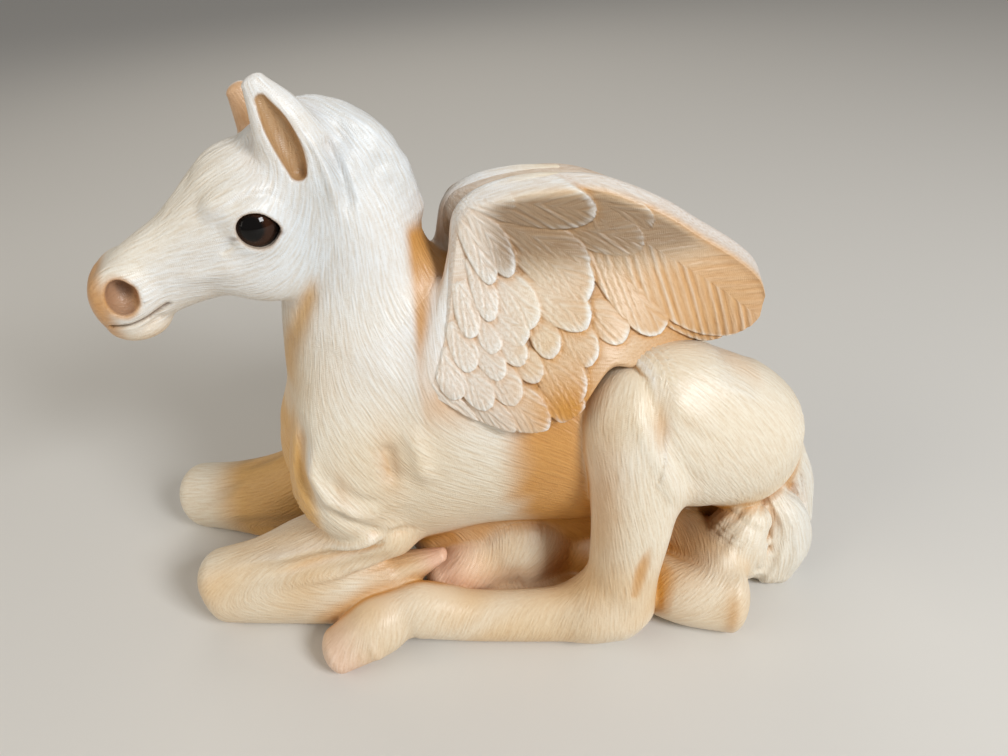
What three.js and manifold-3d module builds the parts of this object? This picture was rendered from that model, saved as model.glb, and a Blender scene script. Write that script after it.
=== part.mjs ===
// A lying foal with raised wings: an ornament of cast pieces, pinned together, with two glass eyes.
// Millimetres, +Z up. The head points to -X and the foal's left side to -Y.
import * as THREE from "three";
import { mergeVertices } from "three/addons/utils/BufferGeometryUtils.js";
import Module from "manifold-3d";

const wasm = await Module();
wasm.setup();

// Driving dimensions
const CLEARANCE = 0.3; // gap that each casting keeps to what it seats in
const EYE_DIAMETER = 9.2; // ball of a glass eye
const EYE_PLACE = [11.4, 8.7, 100.4]; // along the head, out to its side, height
const PIN_DIAMETER = 3.2; // steel pins that hold legs, wings and tail
const PIN_LENGTH = 14;
const NECK_PIN_DIAMETER = 5;
const NECK_PIN_LENGTH = 26;
const WING_PIN_LENGTH = 12;
const WING_PIN_SEAT = 0.6; // how far a wing pin reaches past the middle of the plate
const NECK_PIN_AT = [-27, 1, 49]; // middles of the pins, and for the wings the places (x, z) in the plate
const WING_PINS_AT = [[-3, 66], [9, 67]];
const LEFT_FORELEG_PIN_AT = [-34, -15.5, 34];
const RIGHT_FORELEG_PIN_AT = [-46, 9.5, 35];
const LEFT_HIND_LEG_PIN_AT = [40, -2, 50];
const RIGHT_HIND_LEG_PIN_AT = [42, 4.5, 30];
const UNDERSIDE = 0; // height of the flat underside of trunk, legs and tail
const BASE_MIDDLE = [17, 10]; // middle of the trunk's flat underside, which becomes the origin
const DOME = 0.8; // how far the end of a body is domed, as a share of its half width
const NECK_FOOT = 0.3; // the same for the neck where it stands in the trunk
const SKULL_ENDS = [0.6, 0.45]; // the same for the back of the skull and the muzzle
const SPECK = 0.5; // volume under which a trapped space is filled
const WELD = 1e-4; // points nearer than this are one
const GROUND_BLOCK = 400; // size of the block taken away under the figure
const BODY_MIDDLE = 1; // side-to-side place of the plane that the wings mirror in

// Head frame: where the head's middle plane starts at the poll, and how far it turns to the left
const POLL = [-34, -1];
const HEAD_TURN = THREE.MathUtils.degToRad(17);

// Wing plates
const WING_THICK = 4.4; // plate at its thickest, near the arm
const WING_TOP_OUT = 7.5; // distance of the upper edge from the middle plane
const WING_SIDE_OUT = 25.4; // distance of the lower coverts from the middle plane
const WING_LEAN = [96, 58]; // heights between which the plate leans out to the body's side
const WING_TUCK = [18, 45]; // stretch in which the plate comes back in over the croup
const RIGHT_WING_SHIFT = [-3, -3]; // the right wing sits further forward and lower
const LEAF_FOOT = 0.6; // height over the plate's middle at which a feather starts
const LEAF_EDGE = 1.9; // height of a feather's edge over the plate's middle, at its root
const LEAF_PUFF = 0.7; // how much higher a feather is along its shaft
const LEAF_WIDER = 1.16; // how much a feather spreads over its neighbours
const LEAF_ROOTED = 0.25; // share of a feather's length that runs on under those before it
const LEAF_BOW = 0.12; // sideways bow of a feather as a share of its length
const LEAF_WIDEST = 0.55; // where along it a feather is widest
const LEAF_ROOT_WIDTH = 0.66; // width at the root as a share of the widest
const LEAF_WIDE = 4.5; // half width over which a feather's foot is bent to follow the plate
const LEAF_STEPS = [0, 0.5, 0.84, 0.98]; // where along a feather its sections lie
const PLATE_FULL = 0.7; // under 1 brings the thickest place of a plate towards its first edge
const PLATE_POINT = 0.2; // how far a plate's ends are drawn out to a point
const WING_ROWS = 12; // sections along a wing plate
const WING_RIBS = 4; // faces across a wing plate
const LIMB_SIDES = 8; // faces round a leg, the tail, an ear or a wing's arm
const TRUNK_SIDES = 12; // faces round the trunk and the neck
const SKULL_SIDES = 12; // faces round the skull
const FOLD_SIDES = 6; // faces round a fold or hollow of an ear
const EGG_SIDES = 8; // faces round a swelling of the head
const EYE_SIDES = 12; // faces round an eye
const PIN_SIDES = 8; // faces round a pin
const COLUMN_DEPTH = 12; // how far feathers may reach out from the plate's middle

// Castings, as stations of lofted bodies: centre x, y, z, half width, half depth
const TRUNK = [
  [-43, 1, 40, 13, 17],
  [-36, 1, 43, 20, 28],
  [-24, 1, 47, 24.5, 34],
  [-6, 1, 50, 26, 32],
  [14, 1, 47, 26, 29],
  [30, 2, 41, 22, 25],
  [44, 3, 37, 17, 22],
  [55, 2, 33, 14, 18],
  [62, 0, 28.5, 11, 13.5],
];
const BELLY = [
  [-26, 10, 27, 13, 22],
  [-10, 12, 25, 15, 30],
  [14, 12, 24, 15, 30],
  [38, 8, 22, 16, 26],
  [52, 4, 18, 14, 18],
  [61, 2, 15, 8, 12],
];
const UNDER_BELLY = [
  [-20, -2, 14, 9, 10],
  [-6, -3, 16, 10, 11],
  [8, -3, 17, 10, 12],
  [22, -3, 17, 11, 12],
];
const LEFT_SHOULDER = [
  [-22, -11, 66, 9, 11],
  [-30, -14, 53, 11.5, 14],
  [-34.5, -15, 41, 11.5, 13.5],
  [-33, -14.5, 32, 10, 9.5],
];
const RIGHT_SHOULDER = [
  [-25, 13, 64, 9, 11],
  [-32, 14, 50, 11, 14],
  [-36, 13, 36, 11, 14],
];
const NECK = [
  [-27, 1, 54, 19, 20],
  [-28, 0, 64, 17, 19.3],
  [-28.5, -0.5, 74, 14.5, 17.2],
  [-28, -1, 85, 12.3, 15.2],
  [-28, -2, 96, 11, 12.5],
  [-30, -3, 105, 9.5, 9.5],
];
const MANE = [
  [-40, -4.8, 113.2, 2.6, 2.8],
  [-32, -3, 115.2, 3.6, 4.4],
  [-23.8, -2, 111.4, 3.8, 4.8],
  [-19, -1.5, 104.4, 3.8, 4.4],
  [-17, -1, 97, 3, 3.6],
];
const LEFT_FOREARM = [
  [-29, -15.5, 28, 8, 8.5],
  [-44, -14.5, 21.5, 7.5, 7.5],
  [-58, -13.8, 15.5, 7.6, 6.5],
  [-70.5, -13.6, 10.4, 8.2, 8.5],
];
const LEFT_FORE_CANNON = [
  [-70, -14, 7.5, 7.8, 7.5],
  [-56, -16.5, 8.5, 7, 8.5],
  [-42, -17.8, 10, 6.8, 10],
  [-30, -17.2, 12.5, 5.8, 7.6],
  [-22.5, -16.5, 14, 4.2, 4],
  [-17, -16.5, 15.6, 3.6, 2.6],
];
const RIGHT_FOREARM = [
  [-44, 8, 25, 9, 11.5],
  [-58, 11.5, 16.8, 9.2, 11],
  [-73, 16.5, 11.5, 8.8, 9.8],
  [-85.5, 20, 9.4, 8.3, 9.4],
];
const RIGHT_FORE_CANNON = [
  [-84, 20, 6, 6, 6],
  [-66, 13.5, 6, 6.4, 6.4],
  [-50, 9.5, 7, 6.4, 6.4],
];
const LEFT_THIGH = [
  [53.5, -8.5, 33, 11, 14],
  [47, -12.5, 42.5, 13.5, 18.5],
  [36, -16, 51.5, 14, 19.8],
  [26.5, -19, 56.5, 11, 16.5],
  [22.6, -21, 57.5, 8.4, 10.6],
];
const LEFT_SHIN = [
  [26, -21, 55, 8.4, 10],
  [25.6, -24, 48, 8.6, 10.2],
  [25, -26.5, 34, 8, 8.8],
  [23.2, -28, 20, 7.4, 7.8],
  [22.2, -29, 10, 7, 8.2],
];
const LEFT_CANNON = [
  [22, -29, 8.6, 6.8, 7.6],
  [8, -28, 6.9, 5.8, 6.6],
  [-10, -26.4, 6.5, 5.6, 6.1],
  [-22, -25.4, 8.2, 6.4, 7.2],
  [-28, -26.2, 7.6, 5.8, 6.4],
  [-33, -27.8, 7.6, 6.4, 6.8],
  [-36.5, -29, 6, 6, 5.8],
  [-42.5, -31, 4, 6.4, 4.4],
];
const RIGHT_THIGH = [
  [55, 12, 26, 10, 15],
  [45, 15.5, 26, 12, 19],
  [32, 17, 25, 12, 19],
  [22, 16, 22, 9, 14],
];
const RIGHT_SHIN = [
  [24, 14, 20, 8, 9],
  [36, -4, 13, 8, 8.5],
  [47, -23, 11, 6.6, 8],
];
const RIGHT_CANNON = [
  [49, -29.4, 8.2, 6.2, 8.2],
  [37, -25.5, 8.4, 6.4, 8],
  [26, -17, 8.2, 6, 8.4],
  [14, -9.5, 8, 6, 8.4],
  [2, -9.5, 10, 9, 10.2],
  [-6.5, -11.5, 9.6, 6.6, 7.4],
  [-13.5, -13.5, 8, 7, 7],
  [-18.5, -15, 7, 5, 5.4],
];
const TAIL_DOCK = [
  [62, 1, 34, 4.2, 4.4],
  [68, -1, 28.5, 3.2, 3.6],
  [70.5, -4, 21, 2.4, 3.6],
  [69, -8.5, 13, 3, 4.6],
];
const TAIL_LOCK = [
  [61, -11.5, 22.5, 3.8, 4],
  [63.5, -12.4, 17.5, 6, 6.4],
  [64, -13, 10.5, 7.2, 7.6],
  [62, -13.5, 4, 6.8, 7],
];
const TAIL_CURL = [
  [57.5, -14.5, 7, 5.4, 5.6],
  [53, -16.5, 11, 6.8, 7],
  [52, -17.5, 17.5, 7, 7],
  [54.5, -16.8, 22, 5, 5],
];

// Head stations: along the head, height of the top and of the bottom, half width
const HEAD = [
  [-3, 110.5, 90, 8.5],
  [4, 113.2, 86.5, 11],
  [11, 113.6, 84.8, 11.8],
  [17, 111.8, 84.6, 11],
  [22, 107.6, 84.6, 9.2],
  [28, 102.2, 83.6, 7],
  [33, 99.3, 82, 6.3],
  [38, 96.4, 81, 6.8],
  [41.2, 94, 82, 6],
];
// Swellings and pits of the head: along, out to the side, height, and the three half sizes
const CHEEK = [9.5, 6.4, 92.5, 9.5, 5.4, 8.5];
const BROW = [12, 8.6, 104.6, 6.5, 3.4, 3.2];
const NOSTRIL_RIM = [37.4, 4.4, 90.2, 4.9, 3.5, 5.2];
const NOSTRIL_PIT = [37.6, 7.2, 90.4, 2.3, 3.4, 3.1];
const CHIN = [37, 0, 82, 5.5, 4.6, 3.2];
// Ears in the head frame: along, out to the side, height, half width, half depth
const LEFT_EAR = [
  [0.6, 6.2, 102, 3, 5.4],
  [1.4, 7.4, 109, 3.6, 6.4],
  [3.4, 7.8, 117, 3.2, 5.2],
  [6.2, 7.2, 123.6, 1.5, 2.2],
];
const LEFT_EAR_HOLLOW = [
  [2.2, 10.4, 108.6, 1.6, 1.4],
  [2.9, 10.7, 112.5, 2, 2.1],
  [4.3, 10.2, 117.2, 1.8, 2],
  [5.8, 9.2, 121.3, 0.7, 0.9],
];
const RIGHT_EAR = [
  [2.6, -6.2, 102, 3, 5],
  [4, -7.2, 108, 3.6, 5.6],
  [6.4, -7.6, 114.5, 3.2, 4.6],
  [9, -7, 120, 1.6, 2.2],
];
const RIGHT_EAR_HOLLOW = [
  [4.6, -9.6, 106.5, 1.7, 1.5],
  [5.6, -10, 111, 2.2, 2.4],
  [7.4, -9.8, 115.5, 1.9, 2.2],
  [9, -8.6, 119, 0.7, 0.9],
];
// Fold of skin from behind each ear down to the jaw
const EAR_FOLD = [
  [-1.2, 10, 108, 1.4, 2],
  [-4.2, 10.6, 101.5, 1.5, 2],
  [-5.4, 10.2, 96, 1, 1.3],
];

// Wing outlines in the plate (x, z), root to tip
const WING_LEADING = [
  [-17.5, 68.5], [-13.8, 71.5], [-10.6, 80], [-8.5, 90.4], [-6.4, 98.6], [-1, 101.8], [9.3, 103.3],
  [20, 102.6], [31.5, 97.6], [39.4, 92.4], [47.2, 87], [51.6, 82.6], [53.6, 77.4],
];
const WING_TRAILING = [
  [-17, 66.8], [-12.5, 63.8], [-6, 60], [2, 58.2], [9, 59], [15, 62], [21, 68.5],
  [27, 71], [34, 72], [40, 70.4], [45.6, 67], [50.2, 68.4], [53, 72.6],
];
// Arm of a wing, from the shoulder along the leading edge: x, z, lift off the plate, two half sizes
const WING_ARM = [
  [-16, 62, -5, 2.6, 3], [-13.6, 69, -2.6, 2.2, 2.6], [-10.2, 77.5, -1.2, 1.7, 2],
  [-7.4, 88.5, -0.6, 1.4, 1.6], [-5.6, 97, -0.2, 1.4, 1.5], [-0.4, 100.8, -0.2, 1.4, 1.4],
  [8, 102.4, -0.2, 1.2, 1.2], [17, 102.2, -0.3, 0.9, 0.9],
];
// Feathers on the plate: root x, z, tip x, z, half width, lift of the tip
const FEATHERS = [
  [-14, 67.5, -11.5, 60, 2.6, 0.9], [-11.3, 73, -9.2, 66, 2.6, 0.9], [-8.7, 77.5, -6, 71, 2.4, 0.9],
  [-10.6, 64.5, -6.7, 57.5, 2.6, 1.1], [-5, 65, 0.7, 58.5, 3, 1.2], [0.3, 66.5, 7.3, 59.5, 3.7, 1.3],
  [8.4, 67, 14.3, 62, 3.3, 1.2], [-7.7, 71, -3.2, 64.5, 2.8, 1.1], [-2.8, 71, 2.8, 66, 2.8, 1.1],
  [8, 72, 14.4, 65, 3.9, 1.1], [2.6, 73, 7.3, 69.5, 2.3, 1.0], [-4.6, 75, 0, 70, 2.3, 1.1],
  [-0.8, 76.2, 4.6, 72.5, 2.3, 1.2], [6.6, 78, 10.3, 73, 2.5, 1.3], [12, 77, 17.7, 71.5, 3, 0.9],
  [18, 79, 24.5, 74.5, 2.8, 0.8], [-0.9, 80.2, 5.2, 75.8, 2.6, 1.3], [0.6, 85, 7, 78, 3.1, 1.3],
  [7, 83, 17.3, 78, 3.4, 1.6], [6.8, 89.5, 18, 82.3, 4.2, 1.5], [2, 94.5, 18, 87, 3.2, 1.1],
  [-3.7, 80, -1, 74, 2.3, 1.0], [-7, 83.7, -5.4, 76.4, 2.2, 0.9], [-4, 87.5, -1.5, 79, 2.2, 1.1],
  [-5.3, 95, -0.7, 85, 2.3, 1.2], [-4, 97.5, 3, 86, 2.6, 1.2], [27.7, 81, 45.5, 66.5, 3.2, 0.9],
  [19.5, 88.5, 32.3, 73.3, 4.2, 1.2], [24, 92, 53, 71.5, 9, 2.0], [14.5, 102.5, 32.5, 97.5, 2, 1.0],
  [18, 98.5, 30.3, 93.5, 2.8, 1.5], [14.3, 93.5, 28.5, 90, 3.4, 1.7], [-2, 100, 19.5, 96.5, 4.3, 1.6],
  [-3.3, 99.3, 4.7, 99.5, 2.6, 1.2],
];

// Finishes: colour, roughness, metalness
const WARM_IVORY = [0xefe3cc, 0.5, 0];
const COOL_WHITE = [0xf1eee6, 0.5, 0];
const EYE_GLASS = [0x1c100a, 0.08, 0];
const STEEL = [0xb4b6b8, 0.35, 1];

const UP = new THREE.Vector3(0, 0, 1);
const ACROSS = new THREE.Vector3(0, 1, 0);
const TRUNK_ALONG = new THREE.Vector3(1, 0, 0);
const HEAD_ALONG = new THREE.Vector3(-Math.cos(HEAD_TURN), -Math.sin(HEAD_TURN), 0);
const HEAD_OUT = new THREE.Vector3(Math.sin(HEAD_TURN), -Math.cos(HEAD_TURN), 0);
const LEFT = 1;
const RIGHT = -1;

function headPoint(along, out, height) {
  const start = new THREE.Vector3(POLL[0], POLL[1], height);
  return start.addScaledVector(HEAD_ALONG, along).addScaledVector(HEAD_OUT, out);
}

function solidOf(geometry) {
  const bare = geometry.clone();
  bare.deleteAttribute("normal");
  bare.deleteAttribute("uv");
  const merged = mergeVertices(bare, WELD);
  return new wasm.Manifold(
    new wasm.Mesh({
      numProp: 3,
      vertProperties: new Float32Array(merged.attributes.position.array),
      triVerts: new Uint32Array(merged.index.array),
    }),
  );
}

function geometryOf(solid) {
  const mesh = solid.getMesh();
  const geometry = new THREE.BufferGeometry();
  const places = new Float32Array(mesh.vertProperties);
  geometry.setAttribute("position", new THREE.BufferAttribute(places, 3));
  geometry.setIndex(withoutSpecks(geometry.attributes.position, mesh.triVerts));
  geometry.computeVertexNormals();
  return geometry;
}

// Overlapping leaves can trap a speck of space between them: shells smaller than a speck are left out.
function withoutSpecks(position, corners) {
  const owner = Array.from({ length: position.count }, (_, i) => i);
  const shellOf = (i) => {
    while (owner[i] !== i) i = owner[i] = owner[owner[i]];
    return i;
  };
  for (let t = 0; t < corners.length; t += 3) {
    owner[shellOf(corners[t + 1])] = shellOf(corners[t]);
    owner[shellOf(corners[t + 2])] = shellOf(corners[t]);
  }
  const point = (i) => new THREE.Vector3().fromBufferAttribute(position, i);
  const volumes = new Map();
  for (let t = 0; t < corners.length; t += 3) {
    const shell = shellOf(corners[t]);
    const part = point(corners[t]).dot(point(corners[t + 1]).cross(point(corners[t + 2]))) / 6;
    volumes.set(shell, (volumes.get(shell) ?? 0) + part);
  }
  return Array.from(corners).filter((corner) => Math.abs(volumes.get(shellOf(corner))) > SPECK);
}

const join = (solids) => solids.reduce((a, b) => a.add(b));
const cut = (solid, tools) => tools.reduce((a, b) => a.subtract(b), solid);

// Closes a list of equal rings with a pole at each end, faces outwards.
function closedSkin(rings, poles) {
  const sides = rings[0].length;
  const points = [...rings.flat(), ...poles];
  const startPole = rings.length * sides;
  const lastRing = startPole - sides;
  const faces = [];
  for (let i = 0; i < sides; i++) {
    const next = (i + 1) % sides;
    faces.push([startPole, next, i], [startPole + 1, lastRing + i, lastRing + next]);
    for (let a = 0; a < lastRing; a += sides) {
      const b = a + sides;
      faces.push([a + i, a + next, b + next], [a + i, b + next, b + i]);
    }
  }
  const normal = new THREE.Vector3();
  const share = ([a, b, c]) => points[a].dot(normal.crossVectors(points[b], points[c]));
  const volume = faces.reduce((sum, face) => sum + share(face), 0);
  if (volume < 0) faces.forEach((face) => face.reverse());
  const geometry = new THREE.BufferGeometry();
  const places = points.flatMap((p) => p.toArray());
  geometry.setAttribute("position", new THREE.Float32BufferAttribute(places, 3));
  geometry.setIndex(faces.flat());
  return geometry;
}

// A body carried through stations, with domed ends. Its sections are ellipses drawn with few sides,
// the corners a little outside the true curve and the sides a little inside it.
function loft(stations, options = {}) {
  const { grow = 0, sides = LIMB_SIDES, ends = [DOME, DOME], along = null, across = ACROSS } = options;
  const outside = Math.PI / sides / Math.sin(Math.PI / sides);
  const centres = new THREE.CatmullRomCurve3(stations.map(([x, y, z]) => new THREE.Vector3(x, y, z)));
  const halves = stations.map((s) => new THREE.Vector3(s[3] + grow, s[4] + grow, 0));
  const sizes = new THREE.CatmullRomCurve3(halves);
  const section = (t, dome, reach) => {
    const heading = along ?? centres.getTangent(t);
    const side = across.clone().addScaledVector(heading, -across.dot(heading)).normalize();
    const up = new THREE.Vector3().crossVectors(heading, side);
    const size = sizes.getPoint(t).multiplyScalar(outside);
    const bulge = Math.min(size.x, size.y) * reach * Math.sin(dome);
    const centre = centres.getPoint(t).addScaledVector(heading, bulge);
    const ring = [];
    for (let i = 0; i < sides; i++) {
      const angle = (2 * Math.PI * i) / sides;
      const point = centre.clone();
      point.addScaledVector(side, size.x * Math.cos(angle) * Math.cos(dome));
      point.addScaledVector(up, size.y * Math.sin(angle) * Math.cos(dome));
      ring.push(point);
    }
    return { ring, centre };
  };
  const domes = [Math.PI / 3, Math.PI / 6];
  const rings = domes.map((dome) => section(0, -dome, ends[0]).ring);
  const last = stations.length - 1;
  for (let i = 0; i <= last; i++) rings.push(section(i / last, 0, 0).ring);
  for (const dome of [...domes].reverse()) rings.push(section(1, dome, ends[1]).ring);
  const poles = [section(0, -Math.PI / 2, ends[0]).centre, section(1, Math.PI / 2, ends[1]).centre];
  return solidOf(closedSkin(rings, poles));
}

const lofts = (bodies, options) => join(bodies.map((stations) => loft(stations, options)));

// An egg shape in the head frame: a scaled sphere, turned with the head.
function headEgg([along, out, height, halfAlong, halfOut, halfUp], side, grow = 0) {
  const geometry = new THREE.SphereGeometry(1, EGG_SIDES, EGG_SIDES / 2);
  geometry.rotateX(Math.PI / 2);
  geometry.scale(halfAlong + grow, halfOut + grow, halfUp + grow);
  geometry.rotateZ(HEAD_TURN);
  const place = headPoint(along, out * side, height);
  geometry.translate(place.x, place.y, place.z);
  return solidOf(geometry);
}

function headLoft(stations, side, options) {
  const placed = stations.map(([along, out, height, half, deep]) => {
    const place = headPoint(along, out * side, height);
    return [place.x, place.y, place.z, half, deep];
  });
  return loft(placed, { ...options, across: HEAD_OUT });
}

function headAndNeck(grow = 0) {
  const skull = HEAD.map(([along, top, bottom, half]) => {
    const place = headPoint(along, 0, (top + bottom) / 2);
    return [place.x, place.y, place.z, half, (top - bottom) / 2];
  });
  const solids = [
    loft(NECK, { grow, sides: TRUNK_SIDES, ends: [NECK_FOOT, DOME] }),
    loft(skull, { grow, sides: SKULL_SIDES, along: HEAD_ALONG, across: HEAD_OUT, ends: SKULL_ENDS }),
    loft(MANE, { grow }),
    headEgg(CHIN, LEFT, grow),
  ];
  for (const side of [LEFT, RIGHT]) {
    for (const swelling of [CHEEK, BROW, NOSTRIL_RIM]) solids.push(headEgg(swelling, side, grow));
    solids.push(headLoft(EAR_FOLD, side, { grow, sides: FOLD_SIDES }));
  }
  for (const ear of [LEFT_EAR, RIGHT_EAR]) solids.push(headLoft(ear, LEFT, { grow }));
  return join(solids);
}

function eyePlace(side) {
  const [along, out, height] = EYE_PLACE;
  return headPoint(along, out * side, height);
}

const eyeBall = (grow) => {
  return new THREE.SphereGeometry(EYE_DIAMETER / 2 + grow, EYE_SIDES, EYE_SIDES / 2);
};

function headPits() {
  const hollows = [LEFT_EAR_HOLLOW, RIGHT_EAR_HOLLOW];
  const pits = hollows.map((hollow) => headLoft(hollow, LEFT, { sides: FOLD_SIDES }));
  for (const side of [LEFT, RIGHT]) {
    pits.push(headEgg(NOSTRIL_PIT, side));
    const place = eyePlace(side);
    pits.push(solidOf(eyeBall(CLEARANCE).translate(place.x, place.y, place.z)));
  }
  return pits;
}

function trunk() {
  const options = { along: TRUNK_ALONG, sides: TRUNK_SIDES };
  return join([lofts([TRUNK, BELLY, UNDER_BELLY], options), lofts([LEFT_SHOULDER, RIGHT_SHOULDER])]);
}

// Distance of the wing plate from the body's middle plane: near upright above, out on the ribs below.
function wingOut(x, z) {
  const lean = THREE.MathUtils.smoothstep(-z, -WING_LEAN[0], -WING_LEAN[1]);
  const tuck = 1 - THREE.MathUtils.smoothstep(x, WING_TUCK[0], WING_TUCK[1]);
  return WING_TOP_OUT + (WING_SIDE_OUT - WING_TOP_OUT) * lean * tuck;
}

function wingPoint(x, z, lift, side) {
  const shift = side === LEFT ? [0, 0] : RIGHT_WING_SHIFT;
  const out = wingOut(x, z) + lift;
  return new THREE.Vector3(x + shift[0], BODY_MIDDLE - side * out, z + shift[1]);
}

const edge = (points) => new THREE.SplineCurve(points.map(([x, z]) => new THREE.Vector2(x, z)));
const leading = edge(WING_LEADING);
const trailing = edge(WING_TRAILING);

function average(points) {
  const sum = points.reduce((total, p) => total.add(p), new THREE.Vector3());
  return sum.divideScalar(points.length);
}

// The curved plate between the two edges, thickest behind the leading one.
function wingPlate(side, grow = 0) {
  const sectionAt = (t) => {
    const a = leading.getPoint(t);
    const b = trailing.getPoint(t);
    const spread = b.clone().sub(a).setLength(grow);
    a.sub(spread);
    b.add(spread);
    const at = (v, face) => {
      const p = a.clone().lerp(b, v);
      const half = (WING_THICK / 2 + grow) * Math.sqrt(Math.sin(Math.PI * v ** PLATE_FULL));
      return wingPoint(p.x, p.y, face * half, side);
    };
    const ring = [at(0, 0)];
    for (let j = 1; j < WING_RIBS; j++) ring.push(at(j / WING_RIBS, 1));
    ring.push(at(1, 0));
    for (let j = WING_RIBS - 1; j > 0; j--) ring.push(at(j / WING_RIBS, -1));
    return ring;
  };
  const rings = Array.from({ length: WING_ROWS + 1 }, (_, i) => sectionAt(i / WING_ROWS));
  const point = (ring, beyond) => {
    const centre = average(ring);
    return centre.addScaledVector(centre.clone().sub(beyond).normalize(), grow + PLATE_POINT);
  };
  const root = point(rings[0], rings[1][0]);
  const tip = point(rings[WING_ROWS], rings[WING_ROWS - 1][0]);
  return solidOf(closedSkin(rings, [root, tip]));
}

function wingArm(side, grow = 0) {
  const placed = WING_ARM.map(([x, z, lift, half, deep]) => {
    const place = wingPoint(x, z, lift, side);
    return [place.x, place.y, place.z, half, deep];
  });
  return loft(placed, { grow });
}

// A skin through rings, closed at each end by a fan from the middle of the last ring.
function fanned(rings) {
  return solidOf(closedSkin(rings, [average(rings[0]), average(rings[rings.length - 1])]));
}

// The plate's outline carried straight out to the side: feathers are kept inside it.
function wingColumn(side) {
  const rings = Array.from({ length: WING_ROWS + 1 }, (_, i) => {
    const [a, b] = [leading.getPoint(i / WING_ROWS), trailing.getPoint(i / WING_ROWS)];
    const middle = a.clone().lerp(b, 0.5);
    const across = [a, middle, b];
    const inner = across.map(({ x, y }) => wingPoint(x, y, 0, side));
    const outer = across.map(({ x, y }) => wingPoint(x, y, COLUMN_DEPTH, side));
    return [...outer, ...inner.reverse()];
  });
  return fanned(rings);
}

// Half width of a feather at a place along it, as a share: opening from the root, round at the tip.
function leafShare(t) {
  const opening = THREE.MathUtils.smoothstep(t, 0, LEAF_WIDEST);
  const past = Math.max(t - LEAF_WIDEST, 0) / (1 - LEAF_WIDEST);
  return (LEAF_ROOT_WIDTH + (1 - LEAF_ROOT_WIDTH) * opening) * Math.sqrt(1 - past * past);
}

// One leaf-shaped feather, standing in the plate, bowed to one side and rising towards its tip.
function feather([rootX, rootZ, tipX, tipZ, half, tipLift], side) {
  const run = new THREE.Vector2(tipX - rootX, tipZ - rootZ).multiplyScalar(1 + LEAF_ROOTED);
  const start = new THREE.Vector2(tipX, tipZ).sub(run);
  const across = new THREE.Vector2(-run.y, run.x);
  const rings = LEAF_STEPS.map((t) => {
    const centre = start.clone().addScaledVector(run, t).addScaledVector(across, LEAF_BOW * t * (1 - t));
    const spread = across.clone().setLength(LEAF_WIDER * half * leafShare(t));
    const height = LEAF_EDGE + tipLift * t;
    const at = (share, lift) => {
      const p = centre.clone().addScaledVector(spread, share);
      return wingPoint(p.x, p.y, lift, side);
    };
    const top = [at(-1, height), at(0, height + LEAF_PUFF), at(1, height)];
    const foot = half > LEAF_WIDE ? [1, 0, -1] : [1, -1];
    return [...top, ...foot.map((share) => at(share, LEAF_FOOT))];
  });
  return fanned(rings);
}

function wing(side) {
  const feathers = join(FEATHERS.map((sizes) => feather(sizes, side)));
  return join([wingPlate(side), feathers.intersect(wingColumn(side)), wingArm(side)]);
}

function below(height) {
  const box = new THREE.BoxGeometry(GROUND_BLOCK, GROUND_BLOCK, GROUND_BLOCK);
  box.translate(0, 0, height - GROUND_BLOCK / 2);
  return solidOf(box);
}

// Pins: middle, direction, diameter and length. A wing pin ends in the middle of its plate.
const wingPin = (x, z, side) => ({
  at: wingPoint(x, z, WING_PIN_SEAT - WING_PIN_LENGTH / 2, side),
  toward: ACROSS,
  diameter: PIN_DIAMETER,
  length: WING_PIN_LENGTH,
});
const legPin = (place, toward) => ({
  at: new THREE.Vector3(...place),
  toward,
  diameter: PIN_DIAMETER,
  length: PIN_LENGTH,
});
const [dockStart, dockNext] = TAIL_DOCK.map(([x, y, z]) => new THREE.Vector3(x, y, z));
const tailToward = dockNext.clone().sub(dockStart).normalize();
const PINS = {
  neck_pin: {
    at: new THREE.Vector3(...NECK_PIN_AT),
    toward: UP,
    diameter: NECK_PIN_DIAMETER,
    length: NECK_PIN_LENGTH,
  },
  left_wing_front_pin: wingPin(...WING_PINS_AT[0], LEFT),
  left_wing_rear_pin: wingPin(...WING_PINS_AT[1], LEFT),
  right_wing_front_pin: wingPin(...WING_PINS_AT[0], RIGHT),
  right_wing_rear_pin: wingPin(...WING_PINS_AT[1], RIGHT),
  left_foreleg_pin: legPin(LEFT_FORELEG_PIN_AT, UP),
  right_foreleg_pin: legPin(RIGHT_FORELEG_PIN_AT, UP),
  left_hind_leg_pin: legPin(LEFT_HIND_LEG_PIN_AT, ACROSS),
  right_hind_leg_pin: legPin(RIGHT_HIND_LEG_PIN_AT, ACROSS),
  tail_pin: legPin(dockStart, tailToward),
};

function pinGeometry({ diameter, length }, grow = 0) {
  const radius = diameter / 2 + grow;
  return new THREE.CylinderGeometry(radius, radius, length + 2 * grow, PIN_SIDES);
}

const pinTurn = ({ toward }) => new THREE.Quaternion().setFromUnitVectors(ACROSS, toward);

function pinHole(pin) {
  const place = new THREE.Matrix4().compose(pin.at, pinTurn(pin), new THREE.Vector3(1, 1, 1));
  return solidOf(pinGeometry(pin, CLEARANCE).applyMatrix4(place));
}

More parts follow.
